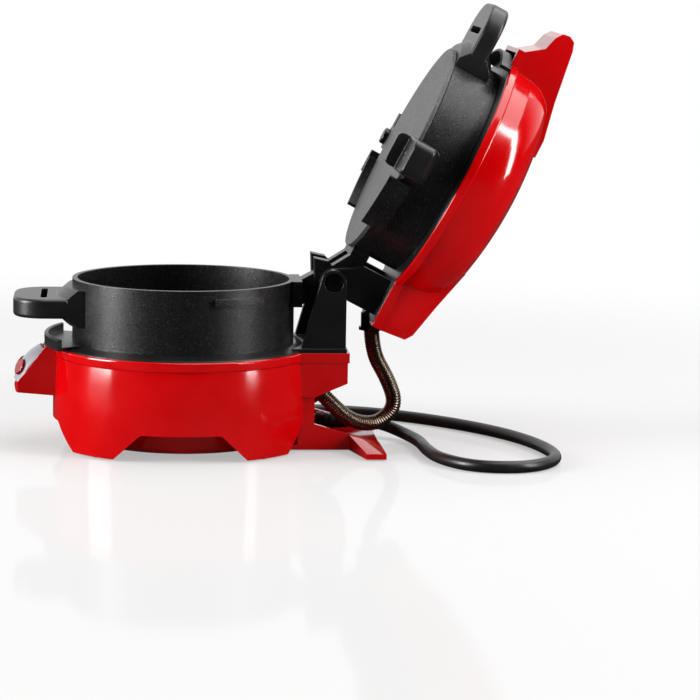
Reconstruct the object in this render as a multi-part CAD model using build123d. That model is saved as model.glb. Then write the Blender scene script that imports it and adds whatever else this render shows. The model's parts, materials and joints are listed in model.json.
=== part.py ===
"""Round breakfast sandwich maker with a hinged cover, in millimetres, +Z up.

The origin lies on the table under the axis of the two rings. +X points to the hinge at the rear and
the user stands at -X. What swings with the cover is modelled closed, then opened about the pivot.
"""
from build123d import *
import math
import os

# Clearances
AIR = 0.3             # between pieces of different bodies that face or pass each other
RUNNING = 0.05        # radial, between the pin and what turns on it
FIT = 0.15            # between pieces of one body that nest
LANE_GAP = 0.4        # between the hinge's arms along the pin

# Rings and cooking plate
RING_RADIUS = 56.5
RING_WALL = 2.5
LOWER_RING_HEIGHT = 32.2
UPPER_RING_HEIGHT = 24.4
PLATE_THICKNESS = 2.0
LEDGE_ANGLE = 62.0    # from the rear, on both sides
LEDGE_SPAN = 27.0     # degrees
LEDGE_PROUD = 2.6
LEDGE_THICK = 3.4
LEDGE_DROP = 4.2      # from the lower ring's rim
FLAP_SPAN = 30.0      # degrees
FLAP_THICK = 2.4
FLAP_HEIGHT = 12.0

# Base shell
DECK_LEDGE = 7.9      # from the ring's outside to the top of the base wall
BASE_RADIUS = RING_RADIUS + DECK_LEDGE
BASE_HEIGHT = 50.6
BASE_WALL = 2.2
RIM_PROUD = 1.2
RIM_HEIGHT = 5.0
WALL_BULGE = 1.8      # the wall is wider than its top by this much at its widest
WALL_WIDEST = 22.0    # height of its widest place
LEG_RADIUS = BASE_RADIUS + 1.4    # outside of the wall at the feet
FOOT_PROUD = 0.8
LEG_FLOOR = 2.6
FOOT_INSET = 5.8      # from the wall to the middle of a foot's pad
FRONT_FOOT = 45.0     # degrees from the front, both ways
REAR_FOOT = 51.0      # degrees from the rear, both ways
LEG_HALF = 5.0        # from the middle of a pad to the gap beside it
ARCH_RUN = 15.0       # how far a side gap's slanted edge leans in
FRONT_ARCH_RUN = 18.0     # and the front gap's
NOTCH_TOP = 1.0       # width of the gap between the stand and a rear leg, at its top
ARCH_HEIGHT = 14.0
ARCH_CORNER = 3.0
ARCH_NEAR = BASE_RADIUS - 30.4    # the gaps are cut from this far off the middle outwards
LEG_WALL = 2.0
SHELF_LOW = ARCH_HEIGHT + 0.6
SHELF_THICK = 2.4
BELLY_RADIUS = BASE_RADIUS - 14.2
BELLY_FLOOR = 2.2     # height of the bottom cover's underside
BELLY_WALL = 2.0
POST_RADIUS = 3.6
POST_CIRCLE = BELLY_RADIUS - BELLY_WALL - POST_RADIUS - 0.6
POST_ANGLES = (45, 135, 225, 315)
SCREW_RADIUS = 1.5
SCREW_HEAD_RADIUS = 2.8
SCREW_HEAD = 1.6
FOOT_PAD_RADIUS = 3.2
FOOT_SEAT = 1.2       # how deep a pad sits in its leg

# Nose and its panel
NOSE_HALF = 13.0
NOSE_TOP = (-BASE_RADIUS - 5.2, BASE_HEIGHT + 0.5)      # X and Z in the middle plane: top of the slope,
NOSE_TIP = (-BASE_RADIUS - 21.4, BASE_HEIGHT - 20.4)    # its foot,
NOSE_CHIN = (-BASE_RADIUS - 20.6, BASE_HEIGHT - 23.2)   # the chin,
NOSE_ROOT = (-BASE_RADIUS + 8.4, BASE_HEIGHT - 25.5)    # and where the underside meets the base
NOSE_ROUND = 43.0             # radius of the tip, seen from above
PANEL_HALF = NOSE_HALF - 1.8
PANEL_LENGTH = 21.6
PANEL_CROWN = 4.6             # the panel bulges out of the slope
PANEL_ROUND = 17.0            # radius across the slope
PANEL_ARC = 25.0              # radius along the slope
PANEL_THICK = 1.8
PANEL_SINK = 1.5
LENS_RADIUS = 4.2
LENS_ANGLE = 21.0             # round the panel's crown, to each side
LENS_DROP = 9.2               # degrees, down the crown from the panel's middle
LENS_PROUD = 1.0
LENS_DEPTH = 4.2              # behind the panel's face, with its flange
LENS_FLANGE = 0.45            # the flange beyond the lens, all round
LENS_FLANGE_THICK = 0.8
BOARD_DEPTH = 9.0             # of the circuit board, under the slope
BOARD_RISE = 0.5
BOARD_THICK = 1.4
LAMP_RADIUS = 2.2
LAMP_Y = 4.6

# Rear box and stand
REAR_HALF = 28.0
REAR_BLOCK_X = BASE_RADIUS + 1.6
REAR_BOX_BACK = 7.5   # from the pin to the back of the box
REAR_BOX_LOW = BASE_HEIGHT - 22.6     # its underside, at the block
REAR_BOX_RISE = 7.0   # and how much higher it is at the rear
STAND_X = REAR_BLOCK_X + 33.5
STAND_TOP = 14.0
STAND_END = 4.2
STAND_WALL = 3.2
STAND_WEB = 2.6
TAIL_HALF = 55.0      # half of the width over the tail feet
TAIL_ROOT = 16.0      # length along X of a tail foot where it leaves the stand
TAIL_TIP = 10.0
TAIL_PAD = (-5.5, -9.0)   # middle of a tail foot's pad, from its outer corner

# Deck
DECK_THICK = 3.0
DECK_FALL = 1.6       # the deck slopes down from the ring to the red rim
DECK_HOLE = POST_CIRCLE - POST_RADIUS - 1.9
DECK_SKIRT = 5.0
DECK_SKIRT_WALL = 2.2
TRAY_THICK = 1.8
LIP_RADIUS = BASE_RADIUS + 6.2
LIP_THICK = 2.0
LIP_HEIGHT = 6.0      # over the nose
LIP_HALF_ANGLE = 26.7
COVER_LIP_INSET = 2.2

# Heating plates
HEATER_RADIUS = RING_RADIUS - RING_WALL - 1.4
HEATER_DISC = 5.5
HEATER_WALL = 3.4
ELEMENT_RADIUS = 3.2
FUSE_INSET = 12.75    # from an element's ring inwards to its fuse
LOWER_BOSS_DEPTH = 8.5
UPPER_PLATE_DROP = 12.5   # the upper plate's face below the top of the upper ring
PLATE_SCREW_CIRCLE = DECK_HOLE + 8.5
PLATE_SCREW_ANGLES = (0, 120, 240)

# Hinge
PIVOT_REACH = 18.5    # from the rings' outside to the pin
PIVOT_RISE = 1.0      # from the lower ring's rim to the pin
OPEN_ANGLE = 117.5
PIN_RADIUS = 3.0
KNUCKLE_RADIUS = 6.3
LOWER_ARM_HALF = 6.5
UPPER_ARM_THICK = 9.1
COVER_ARM_THICK = 5.5
UPRIGHT_THICK = 5.7
UPRIGHT_FOOT = 22.8
ARM_HEIGHT = 9.4
LOWER_ARM_HEIGHT = 13.0
ARM_ROOT = 3.4        # the arms' common root behind a ring's wall
COVER_ARM_BACK = 5.3  # from the pin to the back of a cover arm
COVER_ARM_FRONT = 14.0
TAIL_LENGTH = 14.5    # stop lug behind the upper ring's arm, from the pin
PIVOT_HEAD_RADIUS = 4.6
PIVOT_HEAD = 2.0

# Ring handles
HANDLE_REACH = 29.6   # beyond the ring
HANDLE_HALF = 27.0
HANDLE_CORNER = 16.0
LOWER_HANDLE_THICK = 9.8
UPPER_HANDLE_THICK = 9.4
LOWER_HANDLE_DROP = 13.3  # from the lower ring's rim to the middle of its handle
UPPER_HANDLE_RISE = 8.6   # from the upper ring's underside to the middle of its handle
HANDLE_SLOT = 3.4
HANDLE_SLOT_LENGTH = 35.0
HANDLE_SLOT_FROM_TIP = 15.4
FLANGE_HEIGHT = 19.0
FLANGE_PLATE = 3.0
FLANGE_FLARE = 8.0
LUG_LENGTH = 11.0
LUG_HALF = 13.0
LUG_THICK = 3.6
LUG_SCREW_Y = 8.5
LUG_SCREW_INSET = 4.0

# Cooking plate's pivot and handle
SIDE_PIVOT = RING_RADIUS + 7.5    # from the rings' axis
SIDE_PIN_RADIUS = 2.0
SIDE_BOSS_RADIUS = 5.0
EAR_RADIUS = 6.5
STOP_REACH = 14.2
TAB_THICK = 6.0
TAB_FRONT = 6.0
TAB_REAR = 23.0
TAB_REACH = SIDE_PIVOT + 15.5
TAB_LIP = 4.0
TAB_LIP_HEIGHT = 12.0
PLATE_HANDLE_HALF = 9.2
PLATE_HANDLE_REACH = 33.0
PLATE_HANDLE_THICK = 11.4
PLATE_FLANGE_HEIGHT = 23.0
PLATE_FLANGE_THICK = 3.8
TANG_HALF = 6.0
TANG_LENGTH = 20.0
TANG_SCREW_INSET = 5.0
PAD_HEIGHT = 1.4

# Cover
COVER_RADIUS = RING_RADIUS + 10.3
COVER_HEIGHT = 36.0
COVER_WALL = 2.2
COVER_RIM = 5.0
COVER_RIM_PROUD = 1.2
COVER_SHOULDER = COVER_RADIUS - 15.8    # radius at which the dome starts
COVER_SHOULDER_DROP = 6.5
COVER_LEAN = 5.5       # degrees, the wall from upright
COVER_REAR_BACK = 9.5   # from the pin to the back of the cover, closed
COVER_REAR_HALF = 28.0
TONGUE_HALF = 21.0
FRAME_THICK = 2.6
FRAME_STEP = FRAME_THICK * 0.2      # the frame shows this much below the shell's rim
COVER_POST_CIRCLE = COVER_RADIUS - COVER_RIM_PROUD - COVER_WALL - POST_RADIUS - 2.3
SHIELD_RADIUS = COVER_POST_CIRCLE - POST_RADIUS - 1.9
SHIELD_THICK = 0.8
SHIELD_SCREW_INSET = 3.6
FRAME_HOLE = SHIELD_RADIUS - 6.0

# Conduit and mains cord
CONDUIT_RADIUS = 4.1
CONDUIT_BORE = 2.9
CONDUIT_RIB = 0.35
CONDUIT_RIBS = 96
GLAND_WALL = 1.3
GLAND_RADIUS = CONDUIT_RADIUS + GLAND_WALL
CORD_RADIUS = 3.1
RELIEF_RADIUS = 5.0
RELIEF_LENGTH = 24.0
RELIEF_SUNK = 4.0     # of it, inside the base
COIL_RADIUS = 35.0
COIL_STEP = 7.0
COIL_LIFT = 0.7
COIL_RISE = 6.8       # from one layer to the next
COIL_END_RISE = 4.8   # so that the plug rests on the coil
COIL_X = 14.0
COIL_Y = 117.0
COIL_TURNS = 2.0
BLADE_Y = 6.35        # from the plug's middle to a blade
BLADE_THICK = 1.5
BLADE_WIDTH = 6.3
BLADE_FROM = 36.5     # along the plug, inside it
BLADE_TO = 59.5

# Heights that follow
DECK_Z = BASE_HEIGHT + DECK_THICK - 0.8
LOWER_RING_TOP = DECK_Z + LOWER_RING_HEIGHT
PLATE_Z = LOWER_RING_TOP + AIR
PLATE_TOP = PLATE_Z + PLATE_THICKNESS
UPPER_RING_Z = PLATE_TOP + AIR
UPPER_RING_TOP = UPPER_RING_Z + UPPER_RING_HEIGHT
COVER_Z = UPPER_RING_TOP + AIR
COVER_TOP = COVER_Z + COVER_HEIGHT
RING_BORE = RING_RADIUS - RING_WALL
PIVOT_X = RING_RADIUS + PIVOT_REACH
PIVOT_Z = LOWER_RING_TOP + PIVOT_RISE
PIVOT = (PIVOT_X, 0, PIVOT_Z)
REAR_BOX_X = PIVOT_X + REAR_BOX_BACK
COVER_REAR_X = PIVOT_X + COVER_REAR_BACK
LOWER_HANDLE_Z = LOWER_RING_TOP - LOWER_HANDLE_DROP
UPPER_HANDLE_Z = UPPER_RING_Z + UPPER_HANDLE_RISE
PLATE_MIDDLE = (PLATE_Z + PLATE_TOP) / 2
LOWER_PLATE_TOP = DECK_Z + HEATER_DISC
LOWER_BOSS_RADIUS = DECK_HOLE - FIT
LOWER_ELEMENT_CIRCLE = LOWER_BOSS_RADIUS - HEATER_WALL - ELEMENT_RADIUS - 2.0
UPPER_PLATE_FACE = UPPER_RING_TOP - UPPER_PLATE_DROP
UPPER_BOSS_RADIUS = FRAME_HOLE - FIT
SHIELD_Z = COVER_Z + FRAME_THICK
UPPER_BOSS_DEPTH = SHIELD_Z - UPPER_PLATE_FACE - HEATER_DISC
UPPER_SCREW_CIRCLE = UPPER_BOSS_RADIUS - SHIELD_SCREW_INSET
UPPER_ELEMENT_CIRCLE = UPPER_BOSS_RADIUS - HEATER_WALL - ELEMENT_RADIUS - 7.0

# Where the conduit and the mains cord leave their housings
CONDUIT_LOW = (REAR_BLOCK_X + 2.6, 0, REAR_BOX_LOW - 0.2)
CONDUIT_LOW_DIRECTION = (0.72, 0, -0.694)
CONDUIT_HIGH = (PIVOT_X + 21.6, 0, PIVOT_Z - 23.4)
CONDUIT_HIGH_DIRECTION = (0, 0, -1)
CORD_EXIT = (REAR_BLOCK_X, 12.0, 9.0)

LUG_SCREW_X = LUG_SCREW_INSET - RING_RADIUS - LUG_LENGTH
TANG_REACH = RING_RADIUS + PLATE_FLANGE_THICK + TANG_LENGTH
TANG_SCREW_Y = TANG_SCREW_INSET - TANG_REACH

# Lanes along the pin, from the middle outwards
UPPER_ARM_IN = LOWER_ARM_HALF + LANE_GAP
UPPER_ARM_OUT = UPPER_ARM_IN + UPPER_ARM_THICK
COVER_ARM_IN = UPPER_ARM_OUT + LANE_GAP
COVER_ARM_OUT = COVER_ARM_IN + COVER_ARM_THICK
UPRIGHT_IN = COVER_ARM_OUT + LANE_GAP
UPRIGHT_OUT = UPRIGHT_IN + UPRIGHT_THICK


def cylinder(radius, low, high, x=0.0, y=0.0):
    """Upright cylinder between two heights, in either order."""
    return Pos(x, y, (low + high) / 2) * Cylinder(radius, abs(high - low))


def cross_cylinder(radius, y0, y1, x, z):
    """Cylinder along Y, between two places in either order."""
    return Pos(x, (y0 + y1) / 2, z) * Rot(90, 0, 0) * Cylinder(radius, abs(y1 - y0))


def block(x0, x1, y0, y1, z0, z1):
    """Box between two corners."""
    return Pos((x0 + x1) / 2, (y0 + y1) / 2, (z0 + z1) / 2) * Box(abs(x1 - x0), abs(y1 - y0), abs(z1 - z0))


def band(inner, outer, low, high):
    """Upright ring of rectangular section."""
    return cylinder(outer, low, high) - cylinder(inner, low - 1, high + 1)


def turned(points, arc=360.0, start=0.0):
    """Solid of revolution about the rings' axis from (radius, height) points."""
    face = Face(Wire(Polyline([(r, 0, z) for r, z in points], close=True).edges()))
    return revolve(face, axis=Axis.Z, revolution_arc=arc).rotate(Axis.Z, start)


def side_slab(points, y0, y1):
    """Prism along Y from (x, z) points."""
    face = Face(Wire(Polyline([(x, y0, z) for x, z in points], close=True).edges()))
    return extrude(face, amount=y1 - y0, dir=(0, 1, 0))


def rounded_plan(x0, x1, half, corner, low, high):
    """Plate with its two front corners rounded, seen from above."""
    plate = block(x0, x1, -half, half, low, high)
    front = plate.edges().filter_by(Axis.Z).sort_by(Axis.X)[:2]
    return fillet(front, corner)


def both_sides(shape):
    """A shape and its mirror image across the XZ plane."""
    return shape + mirror(shape, about=Plane.XZ)


def tangent_point(x, z, radius, side):
    """Where a line from (x, z) touches a circle round the pin, on one side or the other."""
    dx = x - PIVOT_X
    dz = z - PIVOT_Z
    reach = math.hypot(dx, dz)
    angle = math.atan2(dz, dx) + side * math.acos(radius / reach)
    return (PIVOT_X + radius * math.cos(angle), PIVOT_Z + radius * math.sin(angle))


def knuckle(points_before, points_after, y0, y1, side, radius=KNUCKLE_RADIUS):
    """Arm that ends in a round knuckle on the pin, between two depths along Y."""
    first = tangent_point(*points_before[-1], radius, side)
    last = tangent_point(*points_after[0], radius, -side)
    outline = points_before + [first, (PIVOT_X, PIVOT_Z), last] + points_after
    return side_slab(outline, y0, y1) + cross_cylinder(radius, y0, y1, PIVOT_X, PIVOT_Z)


def opened(shape):
    """Turn a piece that was modelled closed to where it is with the cover open."""
    return shape.rotate(Axis(PIVOT, (0, 1, 0)), OPEN_ANGLE)


def closed(shape):
    """The way back."""
    return shape.rotate(Axis(PIVOT, (0, 1, 0)), -OPEN_ANGLE)


def screw(radius, head_radius, head, length, x, y, z, up=True):
    """Pan head screw with its head's outer face at z, its shank going up or down."""
    sign = 1 if up else -1
    shape = cylinder(head_radius, z, z + sign * head, x, y)
    shape += cylinder(radius, z, z + sign * length, x, y)
    cross = block(x - head_radius * 0.6, x + head_radius * 0.6, y - 0.4, y + 0.4, z - 0.7, z + 0.7)
    return shape - cross - cross.rotate(Axis((x, y, z), (0, 0, 1)), 90)


def small_screw(length, x, y, z, up=True):
    """The one size of screw that this appliance is put together with, in several lengths."""
    return screw(SCREW_RADIUS, SCREW_HEAD_RADIUS, SCREW_HEAD, length, x, y, z, up)


def on_circle(radius, angles):
    """Points (x, y) on a circle round the rings' axis."""
    return [(radius * math.cos(math.radians(a)), radius * math.sin(math.radians(a))) for a in angles]


def pad_places():
    """Where the rubber pads are: one under each leg and one under each tail foot."""
    circle = LEG_RADIUS - FOOT_INSET
    legs = on_circle(circle, (REAR_FOOT, 180 - FRONT_FOOT, 180 + FRONT_FOOT, -REAR_FOOT))
    x = STAND_X + TAIL_PAD[0]
    y = TAIL_HALF + TAIL_PAD[1]
    return legs + [(x, -y), (x, y)]


def shell_body(inset, low, high):
    """The base's round body, turned from its wall line moved in by the inset."""
    foot = (LEG_RADIUS - inset, 0, low)
    widest = (BASE_RADIUS + WALL_BULGE - inset, 0, WALL_WIDEST)
    top = (BASE_RADIUS - inset, 0, high)
    outline = [
        Line((0, 0, low), foot),
        ThreePointArc(foot, widest, top),
        Line(top, (0, 0, high)),
        Line((0, 0, high), (0, 0, low)),
    ]
    return revolve(Face(Wire(outline)), axis=Axis.Z)


def nose_body(inset):
    """Front nose under the drip lip, rounded at its tip."""
    low = inset
    outline = [
        (NOSE_ROOT[0], NOSE_TOP[1] - inset),
        (NOSE_TOP[0] + inset * 0.7, NOSE_TOP[1] - inset),
        (NOSE_TIP[0] + inset * 1.5, NOSE_TIP[1] + inset * 0.6),
        (NOSE_CHIN[0] + inset * 1.5, NOSE_CHIN[1] + low),
        (NOSE_ROOT[0], NOSE_ROOT[1] + low),
    ]
    body = side_slab(outline, -NOSE_HALF + inset, NOSE_HALF - inset)
    return body & cylinder(NOSE_ROUND - inset, 0, 100, NOSE_TIP[0] + NOSE_ROUND, 0)


def slope_plane():
    """Plane on the nose's slope: X to the user's right, Y up the slope, Z outwards."""
    dx = NOSE_TOP[0] - NOSE_TIP[0]
    dz = NOSE_TOP[1] - NOSE_TIP[1]
    middle = ((NOSE_TOP[0] + NOSE_TIP[0]) / 2, 0, (NOSE_TOP[1] + NOSE_TIP[1]) / 2)
    return Plane(origin=middle, x_dir=(0, -1, 0), z_dir=(-dz, 0, dx))


def panel_barrel(depth, half, sink):
    """Crowned block that the panel's outside or inside is cut from, a depth under its surface."""
    length = PANEL_LENGTH / 2 + 4
    arc = PANEL_ARC - depth
    radius = PANEL_ROUND - depth
    end = radius - arc + math.sqrt(arc ** 2 - length ** 2)
    outline = [
        Line((0, 0, -length), (end, 0, -length)),
        ThreePointArc((end, 0, -length), (radius, 0, 0), (end, 0, length)),
        Line((end, 0, length), (0, 0, length)),
        Line((0, 0, length), (0, 0, -length)),
    ]
    barrel = revolve(Face(Wire(outline)), axis=Axis.Z)
    barrel = Pos(0, 0, PANEL_CROWN - PANEL_ROUND) * Rot(90, 0, 0) * barrel
    long = PANEL_LENGTH / 2 + half - PANEL_HALF
    barrel &= block(-half, half, -long, long, -sink, PANEL_CROWN + 1)
    return slope_plane() * barrel


def panel_place(angle, height):
    """Where a lens is on the panel's crown, with Z outwards, turned to one side by an angle."""
    across = Pos(0, 0, PANEL_CROWN - PANEL_ROUND) * Rot(0, angle, 0)
    along = Pos(0, 0, PANEL_ROUND - PANEL_ARC) * Rot(LENS_DROP, 0, 0)
    return slope_plane() * across * along * Pos(0, 0, PANEL_ARC + height)


def on_panel(radius, depth, out, angle):
    """Cylinder square to the panel, from a depth under its surface to a height above it."""
    return panel_place(angle, (out - depth) / 2) * Cylinder(radius, out + depth)


def stand_outline(top_drop=0.0, low=FOOT_PROUD):
    """Side view of the stand's walls."""
    return [
        (REAR_BLOCK_X - 8, low),
        (STAND_X, low),
        (STAND_X, STAND_END - top_drop),
        (REAR_BLOCK_X, STAND_TOP - top_drop),
        (REAR_BLOCK_X - 8, STAND_TOP - top_drop),
    ]


def tail_foot():
    """Foot that splays out from the stand to the user's right."""
    root = Wire(Polyline([
        (STAND_X - TAIL_ROOT, -REAR_HALF + 1, FOOT_PROUD),
        (STAND_X, -REAR_HALF + 1, FOOT_PROUD),
        (STAND_X, -REAR_HALF + 1, STAND_END),
        (STAND_X - TAIL_ROOT, -REAR_HALF + 1, STAND_END + 4.5),
    ], close=True).edges())
    tip = Wire(Polyline([
        (STAND_X + 1 - TAIL_TIP, -TAIL_HALF, FOOT_PROUD),
        (STAND_X + 1, -TAIL_HALF, FOOT_PROUD),
        (STAND_X + 1, -TAIL_HALF, FOOT_PROUD + 2.8),
        (STAND_X + 1 - TAIL_TIP, -TAIL_HALF, FOOT_PROUD + 2.8),
    ], close=True).edges())
    return Solid.make_loft([root, tip], ruled=True)


def rear_body(inset):
    """The rear block and the box over it that carries the uprights."""
    half = REAR_HALF - inset
    top = BASE_HEIGHT - (0 if inset == 0 else inset)
    lowest = FOOT_PROUD if inset == 0 else -1
    shape = block(40, REAR_BLOCK_X - inset, -half, half, lowest, top)
    outline = [
        (REAR_BLOCK_X - 10, REAR_BOX_LOW + inset),
        (REAR_BLOCK_X, REAR_BOX_LOW + inset),
        (REAR_BOX_X - inset, REAR_BOX_LOW + REAR_BOX_RISE + inset),
        (REAR_BOX_X - inset, top),
        (REAR_BLOCK_X - 10, top),
    ]
    return shape + side_slab(outline, -half - 1.5, half + 1.5)


def gland_tube(end, direction, outside, inside, radius):
    """Round bar along the conduit's end, from outside the housing into it."""
    axis = Vector(*direction).normalized()
    start = Vector(*end) + axis * outside
    bar = Pos(0, 0, -(outside + inside) / 2) * Cylinder(radius, outside + inside)
    return Plane(origin=start, x_dir=(0, 1, 0), z_dir=axis) * bar


def gap_edges(start, end, run):
    """Foot and top of a gap's two slanted edges, as (foot, top, side that the leg is on)."""
    return [(start, start + run, -1), (end, end - run, 1)]


def leg_gap(edges):
    """Block that cuts the gap between the two legs of the left side."""
    (start, start_top, _), (end, end_top, _) = edges
    outline = [(start, -1), (end, -1), (end_top, ARCH_HEIGHT), (start_top, ARCH_HEIGHT)]
    gap = side_slab(outline, ARCH_NEAR, 100)
    return fillet(gap.edges().filter_by(Axis.Y).sort_by(Axis.Z)[-2:], ARCH_CORNER)


def gap_walls(edges):
    """Slanted walls along both edges of the left side's gap."""
    walls = []
    for foot, top, side in edges:
        walls.append(side_slab([
            (foot, FOOT_PROUD),
            (foot + side * LEG_WALL, FOOT_PROUD),
            (top + side * LEG_WALL, SHELF_LOW + 0.1),
            (top, SHELF_LOW + 0.1),
        ], ARCH_NEAR, 100))
    return walls[0] + walls[1]


def rear_notch(foot, outwards):
    """Block that cuts the gap beside the stand, its slanted edge moved outwards."""
    return side_slab([
        (REAR_HALF, -1),
        (foot + outwards, -1),
        (REAR_HALF + NOTCH_TOP + outwards, ARCH_HEIGHT),
        (REAR_HALF, ARCH_HEIGHT),
    ], ARCH_NEAR, 100)


def front_facing(shape):
    """What is drawn for the left side, turned to the front."""
    return shape.rotate(Axis.Z, 90)


def rear_facing(shape):
    """What is drawn for the left side, turned to the rear."""
    return shape.rotate(Axis.Z, -90)


def both_ends(shape):
    """A shape and its mirror image across the YZ plane."""
    return shape + mirror(shape, about=Plane.YZ)


def base_housing():
    """Red shell with its legs, nose, rear box and stand."""
    outer = shell_body(0, FOOT_PROUD, BASE_HEIGHT)
    rim_low = BASE_HEIGHT - RIM_HEIGHT
    rim = cylinder(BASE_RADIUS + RIM_PROUD, rim_low, BASE_HEIGHT)
    rim = fillet(rim.edges().filter_by(GeomType.CIRCLE), RIM_PROUD * 0.8)
    outer = outer + rim + nose_body(0) + rear_body(0)
    rim_half = REAR_HALF + 2.3
    outer += block(REAR_BLOCK_X - 8, REAR_BOX_X + 0.8, -rim_half, rim_half, rim_low, BASE_HEIGHT)
    outer -= cylinder(BASE_RADIUS + FIT, BASE_HEIGHT, 100)
    inner = shell_body(BASE_WALL, -1, BASE_HEIGHT + 1) + nose_body(BASE_WALL) + rear_body(BASE_WALL)
    inner -= block(30, 200, -100, 100, -2, FOOT_PROUD + BASE_WALL) & (rear_body(0) - shell_body(0, -2, 60))
    inner += block(50, REAR_BOX_X - BASE_WALL, -UPRIGHT_IN, UPRIGHT_IN, BASE_HEIGHT - 4, BASE_HEIGHT + 1)
    shell = outer - inner

    # Legs: a floor for the feet, a shelf over the gaps, and the gaps themselves
    whole = shell_body(0.5, FOOT_PROUD, BASE_HEIGHT)
    shell += band(BELLY_RADIUS + FIT * 2, BASE_RADIUS + 5, FOOT_PROUD, FOOT_PROUD + LEG_FLOOR) & whole
    shell += band(BELLY_RADIUS + FIT * 2, BASE_RADIUS + 5, SHELF_LOW, SHELF_LOW + SHELF_THICK) & whole
    rear_x, rear_y = pad_places()[0]
    front_x, front_y = pad_places()[1]
    side_gap = gap_edges(front_x + LEG_HALF, rear_x - LEG_HALF, ARCH_RUN)
    front_gap = gap_edges(LEG_HALF - front_y, front_y - LEG_HALF, FRONT_ARCH_RUN)
    notch_foot = rear_y - LEG_HALF
    shell -= both_sides(leg_gap(side_gap))
    shell -= front_facing(leg_gap(front_gap))
    shell -= rear_facing(both_ends(rear_notch(notch_foot, 0)))

    # Closing walls where the legs end at a gap
    walls = both_sides(gap_walls(side_gap))
    walls += front_facing(gap_walls(front_gap))
    walls += rear_facing(both_ends(rear_notch(notch_foot, LEG_WALL) - rear_notch(notch_foot, 0)))
    shell += (walls & whole) - cylinder(BELLY_RADIUS + FIT * 2, -1, 60)

    # Rear stand: two side walls, a web between them and the tail feet
    stand = side_slab(stand_outline(), -REAR_HALF, REAR_HALF)
    channel = side_slab([
        (REAR_BLOCK_X, FOOT_PROUD + STAND_WEB),
        (STAND_X + 1, FOOT_PROUD + STAND_WEB),
        (STAND_X + 1, STAND_TOP + 1),
        (REAR_BLOCK_X, STAND_TOP + 1),
    ], -REAR_HALF + STAND_WALL, REAR_HALF - STAND_WALL)
    stand = stand - channel - shell_body(0.2, -1, 60)
    stand -= block(0, REAR_BLOCK_X - BASE_WALL, -REAR_HALF, REAR_HALF, -1, 60)
    tails = both_sides(tail_foot())
    shell = shell + stand + tails

    # Seats and holes
    shell -= panel_barrel(-1.0, PANEL_HALF + FIT, PANEL_SINK)
    shell -= slope_plane() * block(-8.5, 8.5, -7.5, 7.5, -6, 3)
    for angle in (-LENS_ANGLE, LENS_ANGLE):
        shell -= on_panel(LENS_RADIUS + LENS_FLANGE + FIT, LENS_DEPTH + FIT, 0, angle)
    shell -= gland_tube(CONDUIT_LOW, CONDUIT_LOW_DIRECTION, 8, 9, GLAND_RADIUS)
    shell -= Pos(REAR_BLOCK_X, CORD_EXIT[1], CORD_EXIT[2]) * Rot(0, 90, 0) * Cylinder(RELIEF_RADIUS, 12)
    for x, y in pad_places():
        shell -= cylinder(FOOT_PAD_RADIUS, -1, FOOT_PROUD + FOOT_SEAT, x, y)
    return shell


def rubber_feet():
    """Six round pads, their lower faces on the table."""
    pads = [cylinder(FOOT_PAD_RADIUS, 0, FOOT_PROUD + FOOT_SEAT, x, y) for x, y in pad_places()]
    return Compound(children=pads)


def bottom_cover():
    """Red cup that closes the base from below."""
    top = ARCH_HEIGHT + SHELF_THICK
    cup = cylinder(BELLY_RADIUS, BELLY_FLOOR, top)
    cup = fillet(cup.edges().filter_by(GeomType.CIRCLE).sort_by(Axis.Z)[0], 3.0)
    cup -= cylinder(BELLY_RADIUS - BELLY_WALL, BELLY_FLOOR + BELLY_WALL, top + 1)
    for x, y in on_circle(POST_CIRCLE, POST_ANGLES):
        cup -= cylinder(SCREW_RADIUS + FIT, 0, 10, x, y)
        cup -= cylinder(SCREW_HEAD_RADIUS + FIT, 0, BELLY_FLOOR + 0.9, x, y)
    for row in range(-3, 4):
        cup -= block(-14, 14, row * 5 - 0.9, row * 5 + 0.9, 0, 10)
    return cup


def base_screws():
    """Four screws from below into the deck's posts."""
    places = on_circle(POST_CIRCLE, POST_ANGLES)
    z = BELLY_FLOOR + 0.9 - SCREW_HEAD
    return Compound(children=[small_screw(14, x, y, z) for x, y in places])


def upright():
    """Hinge upright on the user's right: a tapered plate with a round top."""
    back = PIVOT_X + KNUCKLE_RADIUS + 0.1
    foot = DECK_Z - 2.0
    front = back - UPRIGHT_FOOT
    rear_edge = [(back + 0.01, PIVOT_Z - 8), (back, foot)]
    return knuckle([(front, foot)], rear_edge, -UPRIGHT_OUT, -UPRIGHT_IN, -1, KNUCKLE_RADIUS + 0.1)


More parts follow.
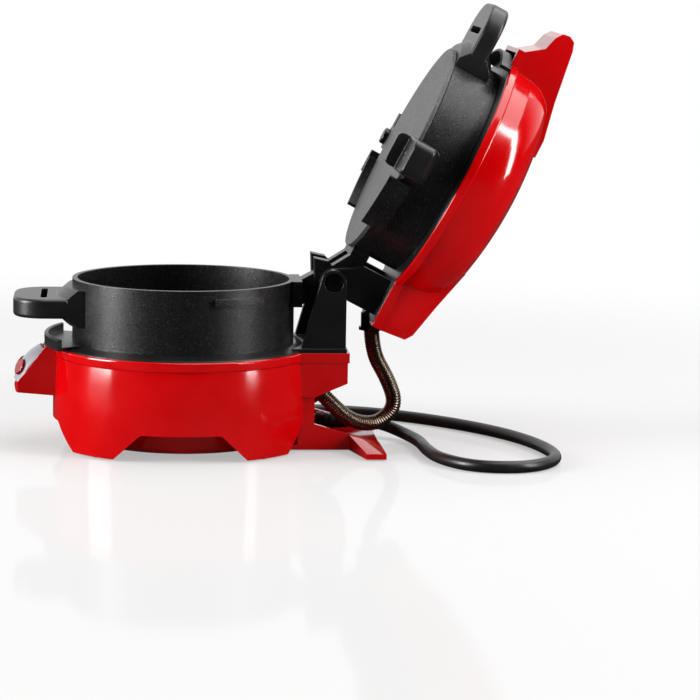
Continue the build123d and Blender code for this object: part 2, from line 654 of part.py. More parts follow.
def top_deck():
    """Black deck that carries the rings, with the drip lip in front and the hinge uprights."""
    edge = DECK_Z - DECK_FALL
    skirt = BASE_RADIUS - BASE_WALL - FIT
    flat = RING_RADIUS + 1.2
    deck = turned([
        (DECK_HOLE, BASE_HEIGHT - 1),
        (skirt - DECK_SKIRT_WALL, BASE_HEIGHT - 1),
        (skirt - DECK_SKIRT_WALL, BASE_HEIGHT - DECK_SKIRT),
        (skirt, BASE_HEIGHT - DECK_SKIRT),
        (skirt, BASE_HEIGHT),
        (BASE_RADIUS, BASE_HEIGHT),
        (BASE_RADIUS - 0.4, edge),
        (flat, DECK_Z),
        (DECK_HOLE, DECK_Z),
    ])
    start = 180 - LIP_HALF_ANGLE
    arc = 2 * LIP_HALF_ANGLE
    tray_low = NOSE_TOP[1] + 0.1
    tray = turned([
        (flat, BASE_HEIGHT),
        (BASE_RADIUS - 0.4, BASE_HEIGHT),
        (BASE_RADIUS - 0.4, tray_low),
        (LIP_RADIUS, tray_low),
        (LIP_RADIUS, tray_low + TRAY_THICK),
        (flat, tray_low + TRAY_THICK),
    ], arc, start)
    lip_top = tray_low + LIP_HEIGHT
    lip = turned([
        (LIP_RADIUS - LIP_THICK, tray_low),
        (LIP_RADIUS, tray_low),
        (LIP_RADIUS, lip_top),
        (LIP_RADIUS - LIP_THICK, lip_top),
    ], arc, start)
    lip = fillet(lip.edges().filter_by(GeomType.CIRCLE).sort_by(Axis.Z)[-2:], LIP_THICK * 0.4)
    rear = block(50, REAR_BOX_X - 0.6, -UPRIGHT_OUT - 1.4, UPRIGHT_OUT + 1.4, BASE_HEIGHT, BASE_HEIGHT + 2)
    plug = UPRIGHT_IN - 2
    rear += block(50, REAR_BOX_X - BASE_WALL - 2, -plug, plug, BASE_HEIGHT - 2, BASE_HEIGHT + 1)
    rear -= cylinder(BASE_RADIUS - 3, 0, 100)
    deck = deck + tray + lip + rear
    for x, y in on_circle(POST_CIRCLE, POST_ANGLES):
        deck += cylinder(POST_RADIUS, BELLY_FLOOR + BELLY_WALL, BASE_HEIGHT, x, y)
    for x, y in on_circle(POST_CIRCLE, POST_ANGLES):
        deck -= cylinder(SCREW_RADIUS, 0, 18, x, y)
    deck += both_sides(upright())
    deck -= cross_cylinder(PIN_RADIUS, -UPRIGHT_OUT - 1, UPRIGHT_OUT + 1, PIVOT_X, PIVOT_Z)
    seat = UPRIGHT_OUT - PIVOT_HEAD
    deck -= both_sides(cross_cylinder(PIVOT_HEAD_RADIUS + FIT, seat, UPRIGHT_OUT + 1, PIVOT_X, PIVOT_Z))
    for x, y in on_circle(PLATE_SCREW_CIRCLE, PLATE_SCREW_ANGLES):
        deck -= cylinder(SCREW_RADIUS + FIT, BASE_HEIGHT - 10, DECK_Z + 7, x, y)
    return deck


def pivot_pin():
    """Hinge shaft between the two screw heads, drilled at both ends."""
    half = UPRIGHT_OUT - PIVOT_HEAD
    pin = cross_cylinder(PIN_RADIUS, -half, half, PIVOT_X, PIVOT_Z)
    return pin - both_sides(cross_cylinder(SCREW_RADIUS, half - 9, half + 1, PIVOT_X, PIVOT_Z))


def pivot_screws():
    """Cross-head screws sunk in the uprights."""
    inner = UPRIGHT_OUT - PIVOT_HEAD
    head = cross_cylinder(PIVOT_HEAD_RADIUS, -inner - PIVOT_HEAD * 0.85, -inner, PIVOT_X, PIVOT_Z)
    head = fillet(head.edges().filter_by(GeomType.CIRCLE).sort_by(Axis.Y)[0], 0.7)
    shank = cross_cylinder(SCREW_RADIUS, -inner, -inner + 8, PIVOT_X, PIVOT_Z)
    face = -inner - PIVOT_HEAD * 0.85
    for x_length, z_length in ((4.8, 1.1), (1.1, 4.8)):
        head -= Pos(PIVOT_X, face, PIVOT_Z) * Box(x_length, 2, z_length)
    one = head + shank
    return Compound(children=[one, mirror(one, about=Plane.XZ)])


def heater(radius, face, sign, boss_radius, boss):
    """Cast plate with a rim wall behind it that holds the element. sign says where its face looks."""
    back = face - sign * HEATER_DISC
    end = back - sign * boss
    disc = cylinder(radius, face, back)
    edge = disc.edges().filter_by(GeomType.CIRCLE).sort_by(Axis.Z)[-1 if sign > 0 else 0]
    disc = fillet(edge, 1.6)
    return disc + band(boss_radius - HEATER_WALL, boss_radius, min(back, end), max(back, end))


def terminal_places(circle):
    """Where an element's two ends are."""
    gap = math.degrees(9.0 / circle)
    return on_circle(circle, (gap, -gap))


def element(circle, z, terminal, sign):
    """Sheathed ring element, open at the rear, with its two cold ends bent away."""
    gap = math.degrees(9.0 / circle)
    face = Pos(circle, 0, z) * Rot(90, 0, 0) * Circle(ELEMENT_RADIUS)
    loop = revolve(face, axis=Axis.Z, revolution_arc=360 - 2 * gap).rotate(Axis.Z, gap)
    for x, y in terminal_places(circle):
        end = z + sign * terminal
        loop += cylinder(ELEMENT_RADIUS, z, end, x, y)
        loop += Pos(x, y, z) * Sphere(ELEMENT_RADIUS)
        loop += cylinder(1.2, end, end + sign * 5, x, y)
    return loop


def lower_heating_plate():
    """Plate inside the lower ring."""
    plate = heater(HEATER_RADIUS, LOWER_PLATE_TOP, 1, LOWER_BOSS_RADIUS, LOWER_BOSS_DEPTH)
    for x, y in on_circle(PLATE_SCREW_CIRCLE, PLATE_SCREW_ANGLES):
        plate -= cylinder(SCREW_RADIUS, BASE_HEIGHT - 10, DECK_Z + 4, x, y)
    return plate


def lower_plate_screws():
    """Three screws from under the deck into the plate."""
    places = on_circle(PLATE_SCREW_CIRCLE, PLATE_SCREW_ANGLES)
    z = BASE_HEIGHT - 1 - SCREW_HEAD
    length = DECK_Z + 3.5 - z
    return Compound(children=[small_screw(length, x, y, z) for x, y in places])


def thermostat(z, sign):
    """Round thermostat with two blade terminals, on the back of a plate."""
    can = cylinder(8.0, z, z + sign * 6)
    can += cylinder(5.5, z + sign * 5.9, z + sign * 9)
    for y in (-3, 3):
        can += block(-2.0, 2.0, y - 0.4, y + 0.4, z + sign * 8.9, z + sign * 14)
    return can


def thermal_fuse(x, z, sign):
    """Small sleeve fuse in a clip, on the back of a plate."""
    centre = z + sign * 2.6
    fuse = cross_cylinder(2.2, -7, 7, x, centre)
    fuse += cross_cylinder(0.6, -13, 13, x, centre)
    return fuse + block(x - 1.2, x + 1.2, -3, 3, z, centre)


def terminal_block():
    """Two-row terminal block on the floor of the rear box."""
    base = REAR_BOX_LOW + REAR_BOX_RISE + BASE_WALL
    front = REAR_BLOCK_X + 2
    body = block(front, front + 10, -20, -6, base, base + 8)
    for y in (-17.5, -13, -8.5):
        for x in (front + 3, front + 7):
            body -= cylinder(1.4, base + 4, base + 10, x, y)
    return body


def control_panel():
    """Grey crowned panel on the nose with holes for its two lenses."""
    panel = panel_barrel(0, PANEL_HALF, PANEL_SINK)
    panel -= panel_barrel(PANEL_THICK, PANEL_HALF - PANEL_THICK, PANEL_SINK + 1)
    for angle in (-LENS_ANGLE, LENS_ANGLE):
        panel -= on_panel(LENS_RADIUS + FIT, 4, 3, angle)
    return panel


def lens(angle):
    """Domed lens with a flange behind the panel."""
    body = on_panel(LENS_RADIUS, LENS_DEPTH, LENS_PROUD, 0)
    body = fillet(body.edges().filter_by(GeomType.CIRCLE).sort_by(Axis.Z)[-1], LENS_PROUD * 0.7)
    flange = Cylinder(LENS_RADIUS + LENS_FLANGE, LENS_FLANGE_THICK)
    body += panel_place(0, LENS_FLANGE_THICK / 2 - LENS_DEPTH) * flange
    return body.rotate(panel_axis(), angle)


def panel_axis():
    """The line that the panel's crown is turned about."""
    plane = slope_plane()
    return Axis(plane.origin + plane.z_dir * (PANEL_CROWN - PANEL_ROUND), plane.y_dir)


def indicator_board():
    """Small circuit board across the nose, behind the lenses."""
    return slope_plane() * Pos(0, BOARD_RISE, -BOARD_DEPTH) * Box(20, 12, BOARD_THICK)


def indicator_lamps():
    """Two lamps on the board, one under each lens."""
    lamps = []
    face = BOARD_THICK / 2 - BOARD_DEPTH
    for x in (-LAMP_Y, LAMP_Y):
        lamp = Pos(x, BOARD_RISE, face + 2.0) * Cylinder(LAMP_RADIUS, 4.0)
        lamp += Pos(x, BOARD_RISE, face + 4.0) * Sphere(LAMP_RADIUS)
        lamps.append(slope_plane() * lamp)
    return Compound(children=lamps)


def ring_arm(top, height, y0, y1):
    """Straight piece from a ring's rear wall towards the pin."""
    return block(RING_BORE + 1, RING_RADIUS + ARM_ROOT, y0, y1, top - height, top)


def handle_lug(z):
    """Lug on a ring's front wall that goes into its handle."""
    half = LUG_THICK / 2
    lug = block(-RING_RADIUS - LUG_LENGTH, -RING_BORE - 1, -LUG_HALF, LUG_HALF, z - half, z + half)
    for y in (-LUG_SCREW_Y, LUG_SCREW_Y):
        lug -= cylinder(SCREW_RADIUS, z - 10, z + 10, LUG_SCREW_X, y)
    return lug


def side_wedges(inner, outer, low, high, span):
    """A pair of curved blocks on the ring's two sides, at the ledge's angle."""
    points = [(inner, low), (outer, low), (outer, high), (inner, high)]
    right = turned(points, span, -LEDGE_ANGLE - span / 2)
    left = turned(points, span, LEDGE_ANGLE - span / 2)
    return right + left


def lower_ring():
    """Lower ring with its hinge arm, handle lug and side ledges."""
    ring = cylinder(RING_RADIUS, DECK_Z, LOWER_RING_TOP)
    arm_top = LOWER_RING_TOP
    ring += ring_arm(arm_top, LOWER_ARM_HEIGHT, -UPPER_ARM_OUT, UPPER_ARM_OUT)
    low = arm_top - LOWER_ARM_HEIGHT
    root = RING_RADIUS - 2
    end = RING_RADIUS + ARM_ROOT
    upper_edge = [(end, arm_top), (root, arm_top)]
    ring += knuckle([(root, low), (end, low)], upper_edge, -LOWER_ARM_HALF, LOWER_ARM_HALF, 1)
    ring += handle_lug(LOWER_HANDLE_Z)
    ledge_top = LOWER_RING_TOP - LEDGE_DROP
    ledge_low = ledge_top - LEDGE_THICK
    ring += side_wedges(RING_BORE + 1, RING_RADIUS + LEDGE_PROUD, ledge_low, ledge_top, LEDGE_SPAN)
    ring -= cylinder(RING_BORE, 0, 200)
    ring -= cross_cylinder(PIN_RADIUS + RUNNING, -50, 50, PIVOT_X, PIVOT_Z)
    return ring


def ring_handle(centre, thick, from_below, lowest=0.0):
    """Wide flat handle with a flared flange that hugs the ring and ends above the lowest height."""
    tip = -RING_RADIUS - HANDLE_REACH
    low = centre - thick / 2
    high = centre + thick / 2
    grip = rounded_plan(tip, -RING_RADIUS, HANDLE_HALF, HANDLE_CORNER, low, high)
    edges = grip.edges().filter_by_position(Axis.Z, high - 0.01, high + 0.01)
    edges += grip.edges().filter_by_position(Axis.Z, low - 0.01, low + 0.01)
    grip = fillet([e for e in edges if e.center().X < -RING_RADIUS - 0.01], 1.8)
    foot = RING_RADIUS + FLANGE_PLATE
    neck = RING_RADIUS + FLANGE_FLARE
    half = FLANGE_HEIGHT / 2
    flange = turned([
        (RING_RADIUS - 4, centre - half),
        (foot, centre - half),
        (neck, low),
        (neck, high),
        (foot, centre + half),
        (RING_RADIUS - 4, centre + half),
    ], 80, 140)
    flange &= block(-200, 0, -HANDLE_HALF, HANDLE_HALF, 0, 200)
    handle = grip + flange
    handle -= cylinder(RING_RADIUS, 0, 200)
    handle -= block(-200, 0, -200, 200, -1, lowest)
    slot_x = tip + HANDLE_SLOT_FROM_TIP
    slot = Pos(slot_x, 0, centre) * Box(HANDLE_SLOT, HANDLE_SLOT_LENGTH, thick + 2)
    handle -= fillet(slot.edges().filter_by(Axis.Z), HANDLE_SLOT * 0.45)
    pocket = LUG_THICK / 2 + FIT
    end = -RING_RADIUS - LUG_LENGTH - FIT
    handle -= block(end, 0, -LUG_HALF - FIT, LUG_HALF + FIT, centre - pocket, centre + pocket)
    start = low if from_below else high
    sign = 1 if from_below else -1
    seat = start + sign * (SCREW_HEAD + 0.2)
    for y in (-LUG_SCREW_Y, LUG_SCREW_Y):
        handle -= cylinder(SCREW_RADIUS + FIT, start - sign, centre, LUG_SCREW_X, y)
        handle -= cylinder(SCREW_HEAD_RADIUS + FIT, start - sign, seat, LUG_SCREW_X, y)
    return handle


def handle_screws(centre, thick, from_below):
    """Two screws through a ring's handle into the ring's lug."""
    sign = 1 if from_below else -1
    z = centre - sign * (thick / 2 - 0.2)
    length = thick / 2 + LUG_THICK / 2 - 0.2
    places = (-LUG_SCREW_Y, LUG_SCREW_Y)
    return Compound(children=[small_screw(length, LUG_SCREW_X, y, z, from_below) for y in places])


def upper_ring():
    """Upper ring with its hinge arms, stop lug, side flaps and the plate's pivot tab. Closed."""
    ring = cylinder(RING_RADIUS, UPPER_RING_Z, UPPER_RING_TOP)
    low = UPPER_RING_Z
    top = low + ARM_HEIGHT
    ring += ring_arm(top, ARM_HEIGHT, -UPPER_ARM_OUT, UPPER_ARM_OUT)
    root = RING_RADIUS - 2
    end = RING_RADIUS + ARM_ROOT
    arm = knuckle([(root, low), (end, low)], [(end, top), (root, top)], -UPPER_ARM_OUT, -UPPER_ARM_IN, 1)
    arm += closed(stop_lug())
    ring += both_sides(arm)
    ring += handle_lug(UPPER_HANDLE_Z)
    flap_low = LOWER_RING_TOP - LEDGE_DROP + AIR
    flap_in = RING_RADIUS + AIR
    ring += side_wedges(flap_in, flap_in + FLAP_THICK, flap_low, flap_low + FLAP_HEIGHT, FLAP_SPAN)
    ring += side_wedges(RING_BORE + 1, flap_in + FLAP_THICK, UPPER_RING_Z, flap_low + FLAP_HEIGHT, FLAP_SPAN)
    tab_low = UPPER_RING_Z + 1.4
    tab = block(-TAB_FRONT, TAB_REAR, RING_BORE - 8, TAB_REACH, tab_low, tab_low + TAB_THICK)
    outer = tab.edges().filter_by(Axis.Z).sort_by(Axis.Y)[-2:]
    tab = fillet(outer, 3.0)
    tab += cylinder(SIDE_BOSS_RADIUS, UPPER_RING_Z, tab_low + TAB_THICK, 0, SIDE_PIVOT)
    lip_top = tab_low + TAB_THICK
    lip_low = lip_top - TAB_LIP_HEIGHT
    tab += block(TAB_REAR - 13, TAB_REAR - 0.5, TAB_REACH - TAB_LIP, TAB_REACH - 0.4, lip_low, lip_top - 1)
    ring += tab
    ring -= cylinder(RING_BORE, 0, 200)
    ring -= cylinder(SIDE_PIN_RADIUS, 0, tab_low + TAB_THICK - 1.5, 0, SIDE_PIVOT)
    ring -= cross_cylinder(PIN_RADIUS + RUNNING, -50, 50, PIVOT_X, PIVOT_Z)
    return ring


def stop_lug():
    """Lug beside the knuckle that stands up when the cover is open."""
    front = PIVOT_X - 9.0
    return side_slab([
        (front, PIVOT_Z + 1),
        (front - 0.4, PIVOT_Z + 11.2),
        (PIVOT_X - 2, PIVOT_Z + 9.6),
        (PIVOT_X + 1, PIVOT_Z + 5.6),
        (PIVOT_X, PIVOT_Z),
    ], -UPPER_ARM_OUT, -UPPER_ARM_IN)


def plate_pivot_screw():
    """Shouldered screw that the cooking plate turns on. Closed."""
    head_low = PLATE_Z - AIR - 2.4
    head = cylinder(4.4, head_low, PLATE_Z - AIR, 0, SIDE_PIVOT)
    head = fillet(head.edges().filter_by(GeomType.CIRCLE).sort_by(Axis.Z)[0], 0.9)
    head -= block(-3, 3, SIDE_PIVOT - 0.5, SIDE_PIVOT + 0.5, head_low - 1, head_low + 1)
    return head + cylinder(SIDE_PIN_RADIUS, PLATE_Z - AIR, UPPER_RING_Z + 1.4 + TAB_THICK - 2, 0, SIDE_PIVOT)


def cooking_plate():
    """Round plate between the rings with its pivot ear and handle tang. Closed."""
    plate = cylinder(RING_RADIUS, PLATE_Z, PLATE_TOP)
    ear = cylinder(EAR_RADIUS, PLATE_Z, PLATE_TOP, 0, SIDE_PIVOT)
    ear += block(-EAR_RADIUS, EAR_RADIUS, RING_RADIUS - 4, SIDE_PIVOT, PLATE_Z, PLATE_TOP)
    ear += block(-STOP_REACH, 0, SIDE_PIVOT - 3, SIDE_PIVOT + 3, PLATE_Z, PLATE_TOP)
    plate += ear
    plate += block(-TANG_HALF, TANG_HALF, -TANG_REACH, -RING_RADIUS + 3, PLATE_Z, PLATE_TOP)
    plate -= cylinder(SIDE_PIN_RADIUS + RUNNING, 0, 200, 0, SIDE_PIVOT)
    plate -= cylinder(SCREW_RADIUS, 0, 200, 0, TANG_SCREW_Y)
    return plate


def plate_handle():
    """Handle of the cooking plate on the user's right. Closed."""
    near = -RING_RADIUS - 0.5
    far = near - PLATE_HANDLE_REACH
    half = PLATE_FLANGE_HEIGHT / 2
    side = PLATE_HANDLE_HALF - 0.5
    flange = block(-side, side, near - PLATE_FLANGE_THICK, near, PLATE_MIDDLE - half, PLATE_MIDDLE + half)
    flange = fillet(flange.edges().filter_by(Axis.Y), 3.0)
    low = PLATE_MIDDLE - PLATE_HANDLE_THICK / 2
    high = PLATE_MIDDLE + PLATE_HANDLE_THICK / 2
    grip = block(-PLATE_HANDLE_HALF, PLATE_HANDLE_HALF, far, near - 1, low, high)
    grip = fillet(grip.edges().filter_by(Axis.Z).sort_by(Axis.Y)[:2], 4.0)
    rims = [e for e in grip.edges() if abs(e.center().Z - PLATE_MIDDLE) > 4 and e.center().Y < near - 2]
    grip = fillet(rims, 1.4)
    side = PLATE_HANDLE_HALF - 3
    pad = block(-side, side, far + 5, near - 9, high - 1, high + PAD_HEIGHT)
    pad = chamfer(pad.faces().sort_by(Axis.Z)[-1].edges(), 0.8)
    handle = flange + grip + pad
    handle -= block(-TANG_HALF - FIT, TANG_HALF + FIT, -TANG_REACH - FIT, 0, PLATE_Z - FIT, PLATE_TOP + FIT)
    handle -= cylinder(SCREW_RADIUS + FIT, low - 1, PLATE_Z, 0, TANG_SCREW_Y)
    handle -= cylinder(SCREW_HEAD_RADIUS + FIT, low - 1, low + SCREW_HEAD + 0.2, 0, TANG_SCREW_Y)
    return handle


def plate_handle_screw():
    """Screw from below through the plate's handle into its tang. Closed."""
    low = PLATE_MIDDLE - PLATE_HANDLE_THICK / 2
    return small_screw(PLATE_TOP - low - 0.4, 0, TANG_SCREW_Y, low + 0.2)


def cover_drum(inset):
    """The cover's round body: a leaning wall, a shoulder and a dome, all moved in by the inset."""
    dome = (COVER_SHOULDER ** 2 + COVER_SHOULDER_DROP ** 2) / (2 * COVER_SHOULDER_DROP)
    slope = math.asin(COVER_SHOULDER / dome)
    dome_centre = COVER_TOP - dome
    dome -= inset
    base = COVER_Z + FRAME_STEP
    low = base if inset == 0 else base - 5
    wall = COVER_RADIUS - COVER_RIM_PROUD - inset
    shoulder = Vector(dome * math.sin(slope), 0, dome_centre + dome * math.cos(slope))
    along_dome = Vector(math.cos(slope), 0, -math.sin(slope))
    down_wall = Vector(math.sin(math.radians(COVER_LEAN)), 0, -math.cos(math.radians(COVER_LEAN)))
    # Where the two tangents cross: as far from the shoulder as from the top of the wall
    foot = Vector(wall, 0, base)
    offset = foot - shoulder
    turn = along_dome.X * down_wall.Z - along_dome.Z * down_wall.X
    reach = (offset.X * down_wall.Z - offset.Z * down_wall.X) / turn
    corner = shoulder + along_dome * reach
    lean = corner + down_wall * reach
    foot = foot + down_wall * (base - low) / math.cos(math.radians(COVER_LEAN))
    half = slope / 2
    crown = Vector(0, 0, dome_centre + dome)
    outline = [
        Line((0, 0, foot.Z), foot),
        Line(foot, lean),
        TangentArc(shoulder, lean, tangent=along_dome),
        ThreePointArc(shoulder, (dome * math.sin(half), 0, dome_centre + dome * math.cos(half)), crown),
        Line(crown, (0, 0, foot.Z)),
    ]
    return revolve(Face(Wire(outline)), axis=Axis.Z)


def tongue(inset):
    """Front tongue that the user lifts the cover by."""
    z = COVER_Z
    outline = [
        (-40, z + 1 - (6 if inset else 0)),
        (-COVER_RADIUS - 4.0 + inset, z + 1 - (6 if inset else 0)),
        (-COVER_RADIUS - 6.2 + inset, z + 5.0),
        (-COVER_RADIUS - 11.8 + inset, z + 12.4 + inset),
        (-COVER_RADIUS - 15.1 + inset * 2, z + 13.2 + inset),
        (-COVER_RADIUS - 19.0 + inset * 3, z + 14.3 + inset),
        (-COVER_RADIUS - 22.5 + inset * 3, z + 16.9 + inset),
        (-COVER_RADIUS - 23.0 + inset * 3, z + 20.5),
        (-COVER_RADIUS - 21.4 + inset * 3, z + 23.6 - inset),
        (-COVER_RADIUS - 17.0 + inset * 2, z + 25.2 - inset),
        (-COVER_RADIUS + 10.1, COVER_TOP - 6.3 - inset),
        (-COVER_RADIUS + 29.2, COVER_TOP - 2.0 - inset),
        (-COVER_RADIUS + 38.8, COVER_TOP - 1.8 - inset),
    ]
    body = side_slab(outline, -TONGUE_HALF + inset, TONGUE_HALF - inset)
    if inset:
        return body
    tips = [e for e in body.edges().filter_by(Axis.Y) if e.center().X < -COVER_RADIUS - 16.5]
    return fillet(tips, 1.4)


def cover_rear(inset):
    """Rear box of the cover over the hinge arms."""
    z = COVER_Z
    end = COVER_REAR_X - inset
    outline = [
        (COVER_REAR_X - 44.5, z + 1 - (6 if inset else 0)),
        (end, z + 1 - (6 if inset else 0)),
        (end + (0.8 if inset == 0 else 0), z + 5),
        (end - 0.8, z + 19 - inset),
        (end - 4.6, z + 21.6 - inset),
        (COVER_REAR_X - 23.5, COVER_TOP - 10.6 - inset),
        (COVER_REAR_X - 44.5, COVER_TOP - 5.6 - inset),
    ]
    return side_slab(outline, -COVER_REAR_HALF + inset, COVER_REAR_HALF - inset)


def cover_shell():
    """Red shell of the cover. Closed."""
    outer = cover_drum(0) + tongue(0) + cover_rear(0)
    low = COVER_Z + FRAME_STEP
    rim = cylinder(COVER_RADIUS, low, COVER_Z + COVER_RIM)
    rim = fillet(rim.edges().filter_by(GeomType.CIRCLE), 0.8)
    rim += block(-COVER_RADIUS - 5.4, 0, -TONGUE_HALF - 1, TONGUE_HALF + 1, low, COVER_Z + COVER_RIM)
    rim += block(0, COVER_REAR_X + 0.6, -COVER_REAR_HALF - 1, COVER_REAR_HALF + 1, low, COVER_Z + COVER_RIM)
    shell = outer + rim - cover_drum(COVER_WALL) - cover_rear(COVER_WALL)
    shell -= tongue(COVER_WALL)
    for x, y in on_circle(COVER_POST_CIRCLE, POST_ANGLES):
        shell += cylinder(POST_RADIUS, COVER_Z + FRAME_THICK, COVER_TOP, x, y) & cover_drum(1.0)
    for x, y in on_circle(COVER_POST_CIRCLE, POST_ANGLES):
        shell -= cylinder(SCREW_RADIUS, COVER_Z, COVER_Z + 14, x, y)
    shell -= closed(gland_tube(CONDUIT_HIGH, CONDUIT_HIGH_DIRECTION, 12, 12, GLAND_RADIUS))
    return shell


def cover_frame():
    """Black frame under the cover's shell with the front lip and the hinge arms. Closed."""
    z = COVER_Z
    inside = COVER_RADIUS - COVER_RIM_PROUD - COVER_WALL - FIT
    frame = cylinder(inside, z, z + FRAME_THICK)
    frame += cylinder(COVER_RADIUS - 0.8, z, z + FRAME_STEP)
    start = 180 - LIP_HALF_ANGLE
    arc = 2 * LIP_HALF_ANGLE
    lip_out = LIP_RADIUS - COVER_LIP_INSET
    frame += turned([(50, z), (lip_out, z), (lip_out, z + FRAME_STEP), (50, z + FRAME_STEP)], arc, start)
    lip = turned([
        (lip_out - LIP_THICK, z - LIP_HEIGHT + 0.6),
        (lip_out, z - LIP_HEIGHT + 0.6),
        (lip_out, z + FRAME_STEP),
        (lip_out - LIP_THICK, z + FRAME_STEP),
    ], arc, start)
    frame += fillet(lip.edges().filter_by(GeomType.CIRCLE).sort_by(Axis.Z)[:2], LIP_THICK * 0.4)
    half = COVER_REAR_HALF - COVER_WALL - FIT
    frame += block(40, COVER_REAR_X - COVER_WALL - FIT, -half, half, z, z + FRAME_THICK)
    frame += block(40, COVER_REAR_X - 0.8, -COVER_REAR_HALF, COVER_REAR_HALF, z, z + FRAME_STEP)
    back = PIVOT_X + COVER_ARM_BACK
    front = PIVOT_X - COVER_ARM_FRONT
    step = PIVOT_Z + 11.0
    rear_edge = [(back, PIVOT_Z + 9.0), (back, z + 1)]
    arm = knuckle([(front, z + 1), (front, step)], rear_edge, -COVER_ARM_OUT, -COVER_ARM_IN, 1)
    frame += both_sides(arm)
    frame += block(back - 2.6, back, -COVER_ARM_OUT, COVER_ARM_OUT, PIVOT_Z + 11.5, z + 1)
    frame -= cylinder(FRAME_HOLE, z - 1, z + 10)
    frame -= cross_cylinder(PIN_RADIUS + RUNNING, -50, 50, PIVOT_X, PIVOT_Z)
    for x, y in on_circle(COVER_POST_CIRCLE, POST_ANGLES):
        frame -= cylinder(SCREW_RADIUS + FIT, z - 1, z + 10, x, y)
        frame -= cylinder(SCREW_HEAD_RADIUS + FIT, z - 1, z + SCREW_HEAD + 0.2, x, y)
    frame -= closed(gland_tube(CONDUIT_HIGH, CONDUIT_HIGH_DIRECTION, 12, 20, GLAND_RADIUS + FIT))
    return frame


def cover_screws():
    """Four screws through the frame into the shell's posts. Closed."""
    places = on_circle(COVER_POST_CIRCLE, POST_ANGLES)
    z = COVER_Z + 0.2
    return Compound(children=[small_screw(11, x, y, z) for x, y in places])


def upper_heating_plate():
    """Plate that reaches down into the upper ring. Closed."""
    plate = heater(HEATER_RADIUS, UPPER_PLATE_FACE, -1, UPPER_BOSS_RADIUS, UPPER_BOSS_DEPTH)
    back = UPPER_PLATE_FACE + HEATER_DISC
    for x, y in on_circle(UPPER_SCREW_CIRCLE, PLATE_SCREW_ANGLES):
        plate += cylinder(3.2, back, SHIELD_Z, x, y)
        plate -= cylinder(SCREW_RADIUS, back + 3, SHIELD_Z + 1, x, y)
    return plate


def upper_heat_shield():
    """Steel disc over the frame's hole that clamps the upper plate. Closed."""
    shield = cylinder(SHIELD_RADIUS, SHIELD_Z, SHIELD_Z + SHIELD_THICK)
    for x, y in terminal_places(UPPER_ELEMENT_CIRCLE):
        shield -= cylinder(2.6, SHIELD_Z - 1, SHIELD_Z + 2, x, y)
    for x, y in on_circle(UPPER_SCREW_CIRCLE, PLATE_SCREW_ANGLES):
        shield -= cylinder(SCREW_RADIUS + FIT, SHIELD_Z - 1, SHIELD_Z + 2, x, y)
    return shield


def upper_plate_screws():
    """Three screws through the shield into the upper plate. Closed."""
    places = on_circle(UPPER_SCREW_CIRCLE, PLATE_SCREW_ANGLES)
    z = SHIELD_Z + SHIELD_THICK + SCREW_HEAD
    return Compound(children=[small_screw(8, x, y, z, False) for x, y in places])


def conduit_gland(end, direction, outside, inside):
    """Collar that the conduit enters a housing through."""
    collar = gland_tube(end, direction, outside, inside, GLAND_RADIUS)
    flange = gland_tube(end, direction, outside, 1.6 - outside, GLAND_RADIUS + 1.0)
    bore = gland_tube(end, direction, outside + 1, inside + 1, CONDUIT_RADIUS + 0.1)
    return collar + flange - bore


CONDUIT_ROUTE = [
    (CONDUIT_LOW[0] - 2.88, 0, CONDUIT_LOW[2] + 2.776),
    (CONDUIT_LOW[0] + 6.84, 0, CONDUIT_LOW[2] - 6.593),
    (86.5, 0, 10.6),
    (100.5, 0, 9.0),
    (110.4, 0, 19.0),
    (105.6, 0, 33.0),
    (CONDUIT_HIGH[0], 0, 48.0),
    (CONDUIT_HIGH[0], 0, CONDUIT_HIGH[2] + 2),
]


def arc_radii(points, most=1e9):
    """Fillet radius at each inner point: as large as the two runs beside it allow."""
    radii = []
    for before, here, after in zip(points, points[1:], points[2:]):
        a = Vector(*here) - Vector(*before)
        b = Vector(*after) - Vector(*here)
        half = math.radians(a.get_angle(b)) / 2
        radii.append(min(most, 0.45 * min(a.length, b.length) / math.tan(half)))
    return radii


def smooth_path(points):
    """Straight runs joined by tangent arcs."""
    return FilletPolyline(*points, radius=arc_radii(points))


def conduit():
    """Ribbed metal hose with its bore, from the base's gland to the cover's."""
    path = smooth_path(CONDUIT_ROUTE)
    outer = []
    pitch = 1.0 / CONDUIT_RIBS
    for rib in range(CONDUIT_RIBS):
        for share, radius in ((0.0, -CONDUIT_RIB), (0.25, 0.0), (0.5, 0.0), (0.75, -CONDUIT_RIB)):
            outer.append(hose_circle(path, (rib + share) * pitch, CONDUIT_RADIUS + radius))
    outer.append(hose_circle(path, 1.0, CONDUIT_RADIUS - CONDUIT_RIB))
    bore = [hose_circle(path, i / 48, CONDUIT_BORE) for i in range(49)]
    return Solid.make_loft(outer, ruled=True) - Solid.make_loft(bore, ruled=True)


def hose_circle(path, share, radius):
    """Circle square to a path at a share of its length."""
    plane = Plane(origin=path @ share, x_dir=(0, 1, 0), z_dir=path % share)
    return Wire(Edge.make_circle(radius, plane))


